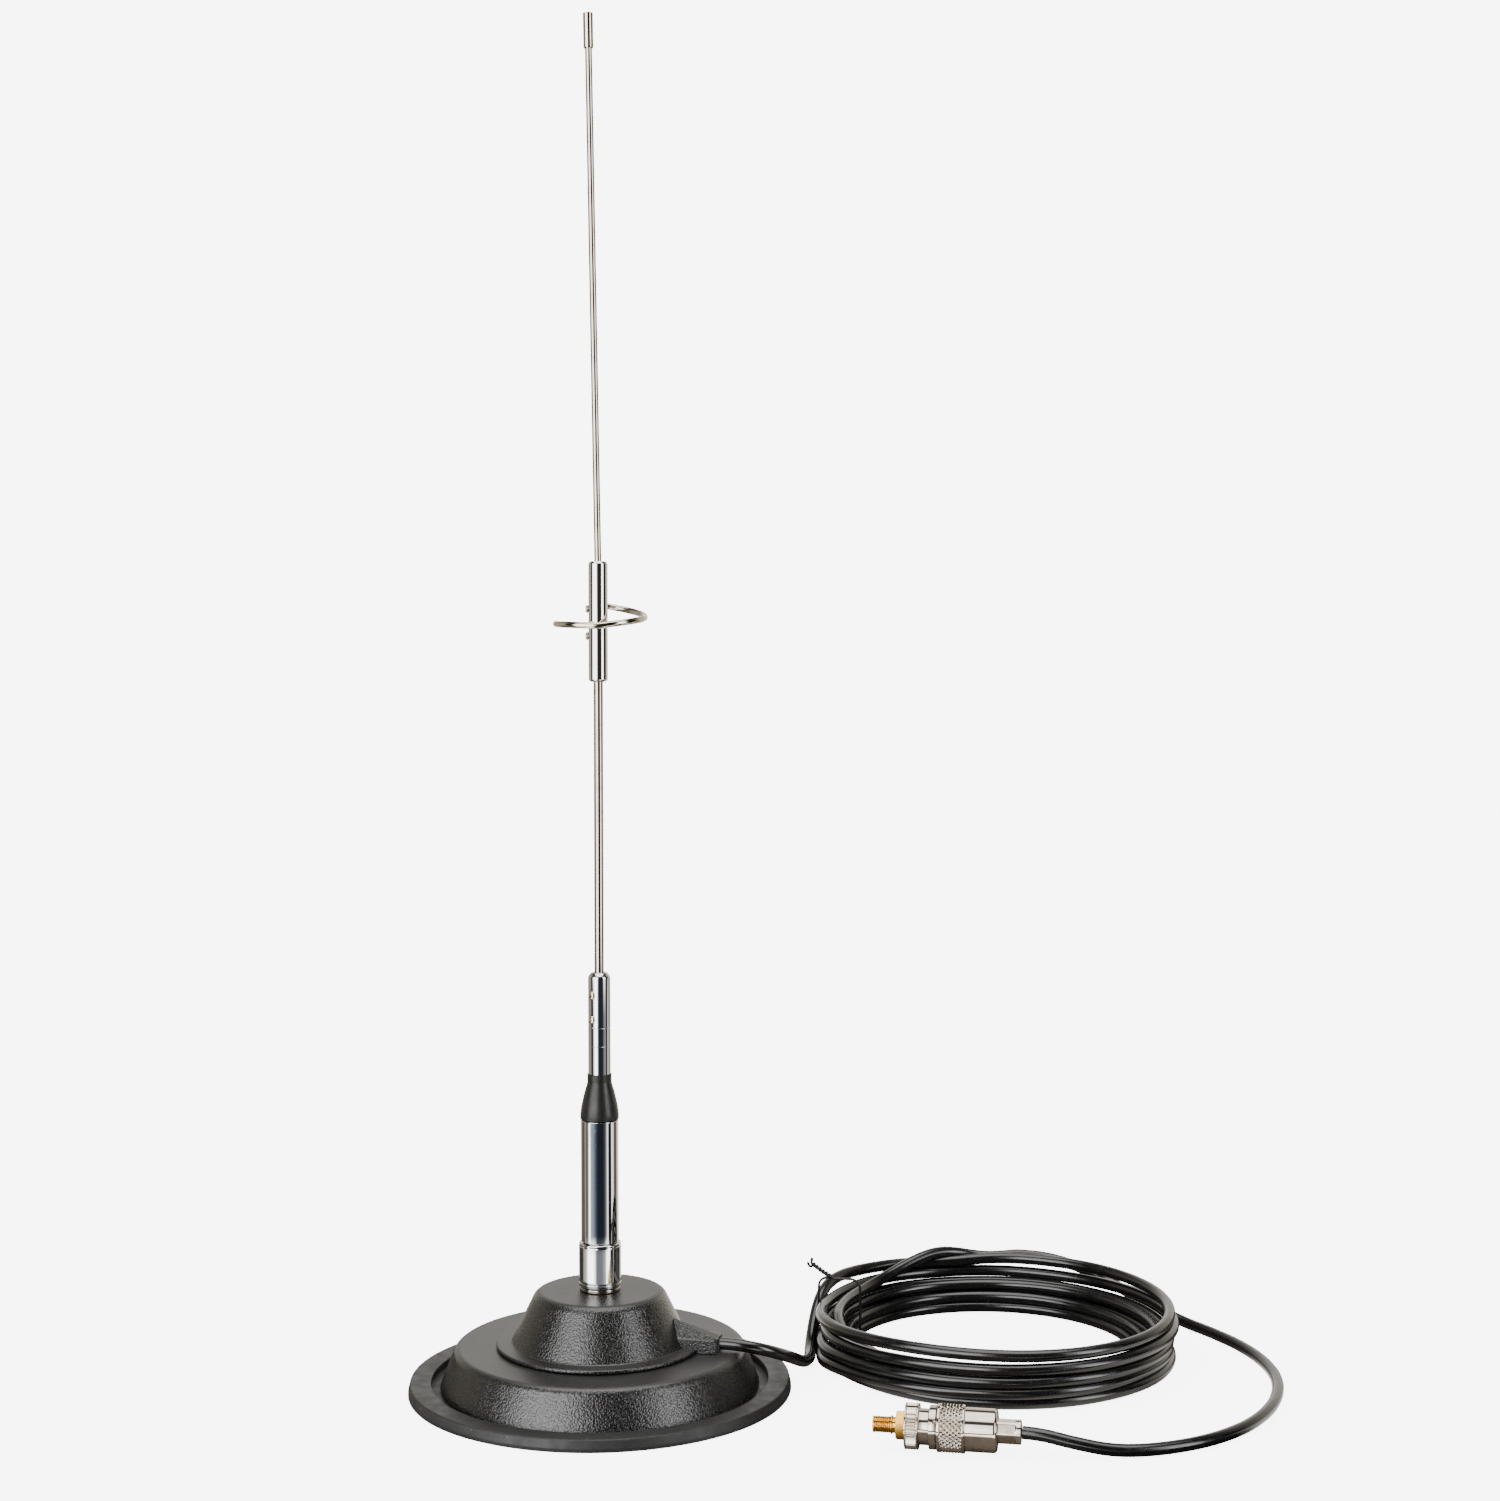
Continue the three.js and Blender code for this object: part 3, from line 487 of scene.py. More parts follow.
def coated_metal():
    """Black powder coat: glossy orange peel on sloping walls, smoother and duller on level faces."""
    f = Finish("black_coat", Specular_IOR_Level=0.95)
    up = f.node("SeparateXYZ", {"Vector": f.node("NewGeometry").outputs["Normal"]}).outputs[2]
    wall = f.span(f.math("ABSOLUTE", up), 0.72, 0.93, 1.0, 0.0)
    pebbles = f.span(f.noise(1250, 1.0, 0.3), 0.32, 0.70)
    grit = f.noise(2400, 2.0)
    peel = f.math("MULTIPLY", pebbles, f.span(wall, 0, 1, 0.12, 1.0))
    relief = f.plus(peel, grit, 0.08)
    haze = f.span(f.noise(24, 4.0), 0.35, 0.75)
    color = f.mix(haze, (0.0045, 0.0047, 0.0045), (0.0075, 0.0077, 0.0074))
    color = f.mix(f.specks(300, 0.11), color, (0.05, 0.05, 0.05))
    rough = f.plus(f.span(wall, 0, 1, 0.40, 0.235), haze, 0.05)
    return f.set(color, rough, relief, 0.00014, 0.6)


def rubber():
    """Black rubber, with rubbed patches and dust caught in its grain."""
    f = Finish("black_rubber", Specular_IOR_Level=0.65)
    marks = f.span(f.noise(60, 5.0, 0.4), 0.45, 0.75)
    color = f.mix(marks, (0.0105, 0.0105, 0.0105), (0.017, 0.0172, 0.0175))
    color = f.mix(f.specks(260, 0.13), color, (0.09, 0.09, 0.09))
    rough = f.span(f.noise(180, 4.0), 0.3, 0.7, 0.44, 0.58)
    relief = f.plus(f.noise(1500, 3.0), f.noise(140, 3.0), 1.5)
    return f.set(color, rough, relief, 0.00007, 0.5)


def moulded(name, dark, light, rough_low, rough_high, grain=900):
    """Black moulded plastic with a fine grain, faint rubbed patches and a few specks."""
    f = Finish(name, Specular_IOR_Level=0.45)
    patches = f.span(f.noise(90, 4.0, 0.3), 0.35, 0.7)
    color = f.mix(patches, dark, light)
    color = f.mix(f.specks(500, 0.08), color, tuple(min(1.0, c * 3 + 0.02) for c in light))
    rough = f.span(f.noise(320, 3.0), 0.3, 0.7, rough_low, rough_high)
    return f.set(color, rough, f.noise(grain, 3.0), 0.00003, 0.35)


def cable_jacket():
    """Glossy black PVC with handling marks and the slight ripple that the braid leaves."""
    f = Finish("cable_jacket", Specular_IOR_Level=0.8)
    rubbed = f.span(f.noise(140, 5.0, 0.5), 0.5, 0.78)
    color = f.mix(rubbed, (0.0055, 0.0055, 0.0057), (0.0095, 0.0095, 0.0098))
    color = f.mix(f.specks(420, 0.09), color, (0.08, 0.08, 0.08))
    rough = f.plus(f.span(f.noise(260, 3.0), 0.3, 0.7, 0.15, 0.22), rubbed, 0.09)
    relief = f.plus(f.noise(900, 2.0), f.noise(220, 2.0), 2.0)
    return f.set(color, rough, relief, 0.00004, 0.3)


def plated(name, color, tarnish, rough, cloud=0.03, ripple=0.00002, groove_shade_reach=0.0):
    """Polished plating: slight waves, hairline scratches, and cloudy patches a little duller and darker.

    The last argument is how far from the bottom of a groove the colour is darkened as painted shade, in metres.
    """
    f = Finish(name, Metallic=1.0)
    clouds = f.span(f.noise(210, 5.0, 0.6), 0.42, 0.72)
    fine = f.noise(1.0, 2.0, 0.0, f.stretched((2600, 2600, 60)))
    hairs = f.span(fine, 0.63, 0.70)
    pits = f.specks(700, 0.09)
    shade = f.mix(clouds, color, tarnish)
    shade = f.mix(f.math("MULTIPLY", pits, 0.5), shade, tuple(c * 0.45 for c in tarnish))
    if groove_shade_reach:
        # painted shade: the colour darkens towards the bottom of grooves and hollows, where shade falls
        open_sky = f.node("AmbientOcclusion", {"Distance": groove_shade_reach}, samples=6, only_local=True).outputs["AO"]
        shade = f.mix(f.span(open_sky, 0.35, 0.85, 0.85, 0.0), shade, tuple(c * 0.12 for c in tarnish))
    dull = f.plus(f.plus(f.plus(rough, clouds, cloud), hairs, 0.05), pits, 0.2)
    return f.set(shade, dull, f.plus(f.noise(120, 1.0), hairs, 0.015), ripple, 0.6)


def turned(name, color, tarnish, rough):
    """Bare or dull-plated metal with fine tool marks across Z."""
    f = Finish(name, Metallic=1.0)
    lines = f.noise(1.0, 3.0, 0.0, f.stretched((90, 90, 5200)))
    clouds = f.span(f.noise(160, 4.0), 0.35, 0.7)
    shade = f.mix(clouds, color, tarnish)
    return f.set(shade, f.plus(rough, lines, 0.18), lines, 0.00003, 0.5)


def ceramic():
    """Dull grey-black ferrite."""
    f = Finish("ferrite", Specular_IOR_Level=0.35)
    color = f.mix(f.span(f.noise(420, 5.0), 0.4, 0.7), (0.018, 0.0165, 0.016), (0.045, 0.042, 0.04))
    return f.set(color, f.span(f.noise(700, 3.0), 0.3, 0.7, 0.6, 0.85), f.noise(1800, 4.0), 0.0001, 0.6)


def white_plastic():
    """The milky plastic of the insulators."""
    f = Finish("white_plastic", Specular_IOR_Level=0.4, Subsurface_Weight=0.05)
    color = f.mix(f.span(f.noise(300, 3.0), 0.3, 0.7), (0.78, 0.77, 0.74), (0.86, 0.855, 0.83))
    return f.set(color, f.span(f.noise(600, 3.0), 0.3, 0.7, 0.35, 0.5), f.noise(1400, 2.0), 0.00003, 0.4)


SLOT_FINISH = {
    "coated_metal": coated_metal(),
    "rim_rubber": rubber(),
    "boot_plastic": moulded(
        "boot_plastic", (0.011, 0.0108, 0.0102), (0.0155, 0.0152, 0.0145), 0.30, 0.38, 1500
    ),
    "pad_plastic": moulded("pad_plastic", (0.014, 0.014, 0.014), (0.022, 0.022, 0.022), 0.5, 0.62),
    "tie_plastic": moulded("tie_plastic", (0.007, 0.007, 0.007), (0.014, 0.014, 0.014), 0.3, 0.42),
    "cable_jacket": cable_jacket(),
    "chrome_plate": plated("chrome_plate", (0.82, 0.82, 0.82), (0.75, 0.755, 0.765), 0.03, 0.02),
    # The nickel, gold and brass finishes darken in their grooves as painted shade.
    "nickel_plate": plated(
        "nickel_plate", (0.70, 0.625, 0.535), (0.56, 0.485, 0.40), 0.05, 0.05, groove_shade_reach=0.0009
    ),
    "rod_steel": plated("rod_steel", (0.56, 0.49, 0.415), (0.47, 0.405, 0.335), 0.03, 0.03, 0.00001),
    "gold_plate": plated("gold_plate", (0.87, 0.50, 0.095), (0.72, 0.37, 0.055), 0.08, 0.05, groove_shade_reach=0.0005),
    "brass_screw": plated("brass_screw", (0.93, 0.86, 0.74), (0.82, 0.73, 0.58), 0.16, 0.08, groove_shade_reach=0.0004),
    "zinc_steel": turned("zinc_steel", (0.62, 0.63, 0.64), (0.5, 0.5, 0.5), 0.25),
    "tinned_brass": turned("tinned_brass", (0.74, 0.66, 0.46), (0.6, 0.5, 0.32), 0.25),
    "copper_wire": turned("copper_wire", (0.8, 0.42, 0.24), (0.62, 0.3, 0.16), 0.2),
    "ferrite": ceramic(),
    "ptfe": white_plastic(),
}


def finish_cad_nodes():
    """Gives each CAD node's object the finish of its slot in the record."""
    for part in frame["record"]["subparts"]:
        node = NODES[part["node"]]
        for place in node.material_slots:
            place.link = "OBJECT"
            place.material = SLOT_FINISH[part["material_slot"]]


# ------------------------------------------------------------------ world, floor and lights
# What stands round the antenna, seen only in polished surfaces. Each ring of panels is a list of degrees
# from the front towards the right, brightness and warmth. The near ring shows in the collar, the middle
# one in the tube, the upper one in the ferrule, and the far one in everything else.
# The rings are painted onto the floor as a glow that only reflections see: painted reflections in the collar,
# tube, ferrule and the rest.
NEAR_RING = [
    (-180, 2.0, 0.2), (-150, 0.8, 0.3), (-141, 0.3, 0.2), (-132, 0.05, 0), (-103, 0.05, 0),
    (-95, 0.4, 0.4), (-80, 0.75, 0.3), (-70, 1.5, 0.1), (-60, 6.0, 0), (-34, 6.0, 0), (-25, 3.2, 0),
    (-17, 0.6, -0.1), (-11, 0.26, -0.2), (11, 0.27, -0.2), (20, 0.38, -0.1), (34, 0.8, 0), (40, 4.5, 0),
    (56, 6.0, 0), (60, 0.4, 0), (61, 0.01, 0), (76, 0.01, 0), (80, 1.0, 0.2), (86, 0.8, 0.2),
    (91, 0.03, 0), (106, 0.09, 0.2), (125, 0.05, 0.2), (138, 0.4, 0.4), (157, 1.8, 0.2), (180, 2.0, 0.2),
]
MIDDLE_RING = [
    (-180, 1.7, 0.2), (-157, 0.7, 0.4), (-140, 0.12, 0.2), (-124, 0.2, 0.4), (-112, 0.09, 0.4),
    (-105, 0.1, 0.4), (-97, 0.5, 0.5), (-88, 0.16, 0.2), (-74, 0.18, 0.1), (-68, 1.2, 0.1),
    (-61, 5.8, 0), (-54, 0.75, 0), (-40, 0.45, -0.3), (-28, 0.24, -0.7), (-20, 0.11, -0.9),
    (-12, 0.045, -1.0), (-4, 0.024, -0.9), (22, 0.024, -0.6), (32, 0.06, -0.3), (42, 0.22, 0),
    (48, 0.9, 0), (54, 2.4, 0), (58, 0.2, 0), (60, 0.01, 0), (76, 0.01, 0), (80, 1.8, 0.1),
    (94, 1.5, 0.1), (101, 0.15, 0.3), (116, 0.09, 0.4), (125, 0.3, 0.5), (138, 1.2, 0.3),
    (180, 1.7, 0.2),
]
UPPER_RING = [
    (-180, 1.6, 0.1), (-157, 0.9, 0.2), (-137, 0.55, 0.3), (-113, 0.30, 0.3), (-95, 0.36, 0.3),
    (-87, 0.2, 0.3), (-81, 0.05, 0.2), (-66, 0.04, 0.1), (-58, 0.5, 0), (-50, 3.0, 0), (-40, 5.5, 0),
    (-20, 6.0, 0), (-15, 2.5, 0), (-11, 0.5, -0.2), (-6, 0.06, -0.5), (4, 0.03, -0.8), (36, 0.03, -0.7),
    (43, 0.1, -0.3), (52, 0.28, 0), (71, 0.35, 0), (76, 0.1, 0.1), (79, 0.02, 0.2), (91, 0.02, 0.2),
    (95, 0.9, 0.2), (104, 1.2, 0.2), (113, 0.22, 0.3), (124, 0.3, 0.3), (137, 0.6, 0.3), (157, 1.3, 0.2),
    (180, 1.6, 0.1),
]
FAR_RING = [
    (-180, 1.5, 0.1), (-157, 0.95, 0.2), (-140, 0.5, 0.3), (-100, 0.5, 0.3), (-91, 0.3, 0.3),
    (-86, 0.05, 0.3), (-72, 0.05, 0.2), (-67, 0.6, 0.1), (-59, 5.5, 0), (-16, 6.0, 0), (-11, 1.8, 0),
    (-6, 0.25, 0.1), (-3, 0.04, 0.5), (36, 0.02, 0.5), (42, 0.3, 0.1), (46, 1.8, 0), (50, 6.0, 0),
    (63, 6.0, 0), (68, 2.0, 0), (72, 0.5, 0.2), (76, 0.02, 0.4), (98, 0.02, 0.4), (103, 0.3, 0.4),
    (110, 0.5, 0.3), (124, 0.9, 0.3), (157, 1.3, 0.2), (180, 1.5, 0.1),
]
RING_PEAK = 6.0
# Where one ring gives way to the next, in metres from the antenna's axis.
NEAR_UNTIL, MIDDLE_FROM = 0.22, 0.26
MIDDLE_UNTIL, UPPER_FROM = 0.54, 0.66
UPPER_UNTIL, FAR_FROM = 0.95, 1.6
# Heights, as the z of a direction, over which the far ring fades, gives way to the dark gap above it, and
# the gap to the overhead panel.
RING_FADES, GAP_STARTS, PANEL_STARTS = (0.34, 0.50), (0.61, 0.72), (0.84, 0.92)
# The rings start on the floor at these distances from the plug and from the axis, in metres.
CLEAR_OF_PLUG, CLEAR_OF_BASE = (0.035, 0.06), (0.085, 0.13)
BACKDROP = 7.5  # brightness of the pale backdrop behind everything
FLOOR_GLOW = 6.2  # added to the floor as the camera sees it, so that it meets the backdrop
AMBIENT = 0.55
PLUG_CENTRE = (0.142, -0.078, 0.0)


def tinted(brightness, warmth):
    """A grey as a share of the rings' peak, made warmer by warmth above 0 and bluer below."""
    level = brightness / RING_PEAK
    return (level * (1 + 0.3 * warmth), level * (1 + 0.04 * warmth), level * (1 - 0.45 * warmth), 1)


def turn_about_axis(f, vector):
    """How far round the antenna's axis a direction or place lies, 0 to 1 from the back, and its height."""
    parts = f.node("SeparateXYZ", {"Vector": vector})
    turn = f.math("ARCTAN2", parts.outputs[0], f.math("MULTIPLY", parts.outputs[1], -1.0))
    return f.math("MULTIPLY_ADD", turn, 1 / TAU, 0.5), parts.outputs[2]


def ring_color(f, turn, ring):
    """The colour of a ring of panels at a turn of 0 to 1."""
    ramp = f.node("ValToRGB", {0: turn})
    ramp.color_ramp.interpolation = "EASE"
    stops = ramp.color_ramp.elements
    for i, (degrees, brightness, warmth) in enumerate(ring):
        at = (degrees + 180) / 360
        stop = stops[i] if i < 2 else stops.new(at)
        stop.position = at
        stop.color = tinted(brightness, warmth)
    return ramp.outputs[0]


def make_world():
    """Pale to the eye; polished surfaces see the far ring, and a soft panel overhead."""
    world = bpy.data.worlds.new("studio")
    bpy.context.scene.world = world
    world.use_nodes = True
    world.node_tree.nodes.clear()
    f = Nodes(world.node_tree)
    turn, height = turn_about_axis(f, f.node("TexCoord").outputs["Generated"])
    fading = f.span(height, *RING_FADES, RING_PEAK, 0.65 * RING_PEAK)
    ring = f.node("Background", {"Color": ring_color(f, turn, FAR_RING), "Strength": fading})
    gap = f.node("Background", {"Color": (0.08, 0.079, 0.077, 1)})
    panel = f.node("Background", {"Color": (1, 0.985, 0.96, 1), "Strength": 3.4})
    low = f.node("MixShader", {0: f.span(height, *GAP_STARTS), 1: ring.outputs[0], 2: gap.outputs[0]})
    seen = f.node("MixShader", {0: f.span(height, *PANEL_STARTS), 1: low.outputs[0], 2: panel.outputs[0]})
    path = f.node("LightPath")
    level = f.span(path.outputs["Is Camera Ray"], 0.0, 1.0, AMBIENT, BACKDROP)
    plain = f.node("Background", {"Color": (1, 0.995, 0.985, 1), "Strength": level})
    chosen = f.node("MixShader", {0: path.outputs["Is Glossy Ray"], 1: plain.outputs[0], 2: seen.outputs[0]})
    f.node("OutputWorld", {"Surface": chosen.outputs[0]})


def make_floor():
    """A plain pale floor to the camera; polished metal sees it darker and warmer, and glowing with the rings
    carried on down, as painted reflection.
    """
    reach = 12.0
    mesh = bpy.data.meshes.new("floor")
    corners = [(-reach, -reach, 0), (reach, -reach, 0), (reach, reach, 0), (-reach, reach, 0)]
    mesh.from_pydata(corners, [], [(0, 1, 2, 3)])
    floor = placed("floor", mesh)
    f = Finish("floor_paper", Specular_IOR_Level=0.1, Roughness=0.8)
    path = f.node("LightPath")
    glossy = path.outputs["Is Glossy Ray"]
    paper = f.mix(f.noise(60, 3.0), (0.83, 0.828, 0.822), (0.86, 0.858, 0.852))
    # painted reflection: polished surfaces see the paper darker and warmer than the camera does
    f.tree.links.new(f.mix(glossy, paper, (0.15, 0.135, 0.118)), f.shader.inputs["Base Color"])
    turn, _ = turn_about_axis(f, f.place)
    out = f.node("VectorMath", {0: f.place}, operation="LENGTH").outputs["Value"]
    near, middle = ring_color(f, turn, NEAR_RING), ring_color(f, turn, MIDDLE_RING)
    inner = f.mix(f.span(out, NEAR_UNTIL, MIDDLE_FROM), near, middle)
    upper, far = ring_color(f, turn, UPPER_RING), ring_color(f, turn, FAR_RING)
    outer = f.mix(f.span(out, UPPER_UNTIL, FAR_FROM), upper, far)
    rings = f.mix(f.span(out, MIDDLE_UNTIL, UPPER_FROM), inner, outer)
    # painted reflection: the floor glows with the rings only for glossy rays, so polished metal shows their bands
    ring_light = f.node("Emission", {"Color": rings, "Strength": RING_PEAK})
    away = f.node("VectorMath", {0: f.place, 1: PLUG_CENTRE}, operation="DISTANCE").outputs["Value"]
    shown = f.math("MULTIPLY", f.span(away, *CLEAR_OF_PLUG), f.span(out, *CLEAR_OF_BASE))
    glow = f.node("Emission", {"Strength": f.math("MULTIPLY", path.outputs["Is Camera Ray"], FLOOR_GLOW)})
    lit = f.node("AddShader", {0: f.shader.outputs[0], 1: glow.outputs[0]})
    share = f.math("MULTIPLY", shown, glossy)
    mixed = f.node("MixShader", {0: share, 1: lit.outputs[0], 2: ring_light.outputs[0]})
    f.tree.links.new(mixed.outputs[0], f.tree.nodes["Material Output"].inputs["Surface"])
    mesh.materials.append(f.material)


def make_soft_light(name, towards, spread, strength):
    """A broad soft light from far away, so that the floor is evenly lit."""
    light = bpy.data.lights.new(name, "SUN")
    light.angle = math.radians(spread)
    light.energy = strength
    holder = placed(name, light)
    holder.rotation_euler = Vector(towards).to_track_quat("-Z", "Y").to_euler()
    holder.visible_glossy = False


make_world()
make_floor()
make_soft_light("soft_top", (0.1, 0.25, -1.0), 75, 2.4)
make_soft_light("soft_left", (0.8, 0.6, -0.7), 60, 0.9)

# ------------------------------------------------------------------ magnetic base
POST_CIRCLE = 22.0
POST_ANGLES = (60, 180, 300)
OUTLET_ANGLE = -12.0
OUTLET_START, OUTLET_END = 27.0, 50.6
OUTLET_HALF_WIDTH = 6.0
OUTLET_EAVES, OUTLET_RIDGE = 25.0, 32.4
UHF_PITCH = 25.4 / 24  # of the 5/8-24 thread that the socket and the plug share
UP = Matrix.Identity(4)


def make_rim():
    """The flared rubber rim, with grip grooves underneath and a shallow gutter round its top."""
    radius, bottom, top = outer_size("rubber_rim")
    inner, gutter, lip = 61.0, 69.5, 1.6
    under = [(radius - 0.1, bottom, 0.5)]
    for groove in (75.2, 71.4, 67.6):
        under += [(groove + 0.7, bottom, 0.15), (groove + 0.4, bottom + 0.5, 0.15)]
        under += [(groove - 0.4, bottom + 0.5, 0.15), (groove - 0.7, bottom, 0.15)]
    over = [
        (inner, bottom, 0.2), (inner, lip, 0.2), (gutter, lip, 0.3), (gutter, top - 0.1, 0.45),
        (radius - 1.0, top, 0.7), (radius - 0.15, bottom + 1.6, 2.0),
    ]
    outline = rounded(under + over, closed=True)

    def uneven(r, z, angle):
        return r + (0.06 * math.sin(3 * angle + 0.8) + 0.04 * math.sin(7 * angle)) * (r > gutter + 2)

    new_piece("rim_skin", lathe(outline, 256, uneven), "magnetic_base", "rim_rubber", ["rubber_rim"])


def make_pad():
    """The plastic disc under the magnet, with moulded rings."""
    radius, bottom, top = outer_size("bottom_pad")
    corners = [(0, bottom)]
    for groove in (9, 20, 30, 40, 50):
        corners += [(groove, bottom, 0.3), (groove + 0.4, bottom + 0.5, 0.2)]
        corners += [(groove + 1.6, bottom + 0.5, 0.2), (groove + 2, bottom, 0.3)]
    corners += [(radius, bottom, 0.6), (radius, top, 0.3), (0, top)]
    solid = lathe(rounded(corners), 192)
    new_piece("pad_skin", solid, "magnetic_base", "pad_plastic", ["bottom_pad"])


def post_drills(radius, bottom, top):
    """A bar on each of the three screws' axes."""
    drills = []
    for angle in POST_ANGLES:
        turn = math.radians(angle)
        place = Matrix.Translation((POST_CIRCLE * math.cos(turn), POST_CIRCLE * math.sin(turn), 0))
        drills.append(moved(bar(radius, bottom, top, 32), place))
    return drills


def make_lower_cover():
    """The pressed lower cover: sloping wall, rounded shoulder, level top with a hole in the middle."""
    foot, bottom, top = outer_size("lower_cover")
    shoulder, hole, wall = 59.0, 16.0, 2.2
    outline = rounded([
        (hole, top - wall, 0.3), (shoulder - wall, top - wall, 1.6), (foot - wall, bottom, 0.3),
        (foot, bottom, 0.6), (foot, bottom + 0.8, 0.9), (shoulder + 0.6, top, 3.4), (hole, top, 0.4),
    ], closed=True, step=9)
    mesh = carved(solid_mesh(lathe(outline, 256)), post_drills(2.3, top - wall - 1, top + 1))
    new_piece("lower_cover_skin", mesh, "magnetic_base", "coated_metal", ["lower_cover"])


def outlet_block(floor):
    """The cable outlet: a block whose gabled roof falls away to its outer end."""
    bevel = 1.1
    half, inner = OUTLET_HALF_WIDTH, OUTLET_HALF_WIDTH - bevel
    sections = (
        (OUTLET_START, OUTLET_RIDGE), (OUTLET_END - bevel, OUTLET_EAVES + 0.25), (OUTLET_END, OUTLET_EAVES),
    )
    rows = []
    for x, ridge in sections:
        shrink = bevel * 0.7 if x == OUTLET_END else 0.0
        side, eaves = OUTLET_EAVES - bevel - shrink, OUTLET_EAVES - shrink
        rows.append([
            (x, -half + shrink, floor), (x, -half + shrink, side), (x, -inner + shrink, eaves),
            (x, 0, ridge - shrink), (x, inner - shrink, eaves), (x, half - shrink, side),
            (x, half - shrink, floor),
        ])
    points = [p for row in rows for p in row]
    count = len(rows[0])
    faces = [tuple(range(count)), tuple(range(2 * count, 3 * count))[::-1]]
    for a, b, c, d in strips(3, count):
        faces += [(a, b, d), (b, c, d)]
    return moved((points, faces), Matrix.Rotation(math.radians(OUTLET_ANGLE), 4, "Z"))


def make_upper_cover():
    """The upper cover: a flange, a cone with a rounded shoulder, screw posts and the cable outlet."""
    low, high = box_mm("upper_cover")
    flange, bottom, top = high[1], low[2], high[2]
    foot, shoulder, wall, rim = 36.2, 26.4, 2.2, 1.5
    outer = rounded([
        (0, bottom), (flange, bottom, 0.4), (flange, bottom + rim, 0.7),
        (foot + 0.3, bottom + rim + 0.1, 1.0), (shoulder + 0.1, top, 4.4), (0, top),
    ], step=7)
    hollow = rounded([
        (0, bottom - 1), (foot - wall - 0.6, bottom - 1), (foot - wall - 0.6, bottom + 2, 0.6),
        (shoulder - wall - 0.6, top - 4, 1.5), (shoulder - wall - 3, top - wall, 1.0), (0, top - wall),
    ])
    posts = post_drills(3.4, bottom, top - 1)
    cable_z = LEAD_ROUTE[0][2]
    cuts = post_drills(2.0, bottom - 1, bottom + 14)
    cuts.append(side_drill(2.85, 22, OUTLET_END + 5, cable_z, OUTLET_ANGLE))
    cuts.append(bar(6.5, top - 5, top + 1, 96))
    shell = carved(solid_mesh(lathe(outer, 256)), [lathe(hollow, 192)])
    joined = carved(shell, cuts, posts + [outlet_block(bottom)])
    new_piece("upper_cover_skin", joined, "magnetic_base", "coated_metal", ["upper_cover"])


def make_socket():
    """The threaded socket: a flange on the cover and a screw barrel inside the collar."""
    flange, bottom, top = outer_size("socket_shell")
    flange_z = 41.3
    barrel, rear, thread_z = 7.7, 6.1, flange_z + 1.4
    bore, rear_bore = 5.4, 3.0
    corners = [
        (rear_bore, bottom, 0.2), (rear, bottom, 0.3), (rear, flange_z, 0.1), (flange, flange_z, 0.25),
        (flange, thread_z, 0.35), (barrel - 0.6, thread_z, 0.2),
    ]
    outline = rounded(corners + [(barrel - 0.6, thread_z + 0.5)])
    outline += stretch(barrel, thread_z + 0.9, top - 0.5, 0.09)
    outline += rounded([
        (barrel - 0.6, top), (bore, top, 0.3), (bore, thread_z, 0.2), (rear_bore, thread_z, 0.2),
        (rear_bore, bottom + 0.3),
    ])
    shape = thread(thread_z + 0.9, top - 0.5, UHF_PITCH, 0.5, barrel)
    solid = lathe(outline, 128, shape)
    new_piece("socket_skin", solid, "magnetic_base", "nickel_plate", ["socket_shell"], sharp=40)


# ------------------------------------------------------------------ antenna on the collar
def make_collar():
    """The coupling collar: a fine groove at its foot and a bright rounded lip at its top."""
    radius, bottom, top = outer_size("coupling_collar")
    bore, neck, shoulder = 8.05, 6.85, 57.5
    groove, depth = 1.5, 0.22
    outline = rounded([
        (bore, bottom, 0.15), (radius, bottom, 0.3), (radius, bottom + groove, 0.06),
        (radius - depth, bottom + groove + 0.12, 0.05), (radius - depth, bottom + groove + 0.42, 0.05),
        (radius, bottom + groove + 0.55, 0.06), (radius, top - 1.5, 0.3), (radius - 0.12, top - 1.2, 0.3),
        (radius - 0.1, top, 0.55), (neck, top, 0.3), (neck, shoulder, 0.2), (bore, shoulder, 0.2),
    ], closed=True)
    new_piece("collar_skin", lathe(outline, 192), "collar", "chrome_plate", ["coupling_collar"])


def make_tube():
    """The plain chromed tube."""
    radius, bottom, top = outer_size("main_tube")
    bore = 6.8
    outline = rounded([
        (bore, bottom, 0.15), (radius, bottom, 0.25), (radius, top, 0.25), (bore, top, 0.15),
    ], closed=True)
    new_piece("tube_skin", lathe(outline, 192), "antenna", "chrome_plate", ["main_tube"])


def make_boot():
    """The black boot: a short straight foot, a long curved shoulder and a small neck."""
    radius, bottom, top = outer_size("boot")
    bore, spigot = 4.95, 6.45
    foot = box_mm("main_tube")[1][2] + 0.3
    neck, neck_from, curve_from = 5.05, 127.5, foot + 1.6
    steps = 28
    curve = []
    for k in range(steps + 1):
        t = k / steps
        curve.append((neck + (radius - neck) * (1 - t ** 1.42), curve_from + (neck_from - curve_from) * t))
    outline = rounded([
        (bore, bottom, 0.2), (spigot, bottom, 0.4), (spigot, foot, 0.1), (radius, foot, 0.35),
        (radius, foot + 1.2),
    ])
    outline += curve
    outline += rounded([(neck, neck_from + 0.4), (neck, top, 0.35), (bore, top, 0.1), (bore, bottom + 0.2)])
    new_piece("boot_skin", lathe(outline, 160), "antenna", "boot_plastic", ["boot"])


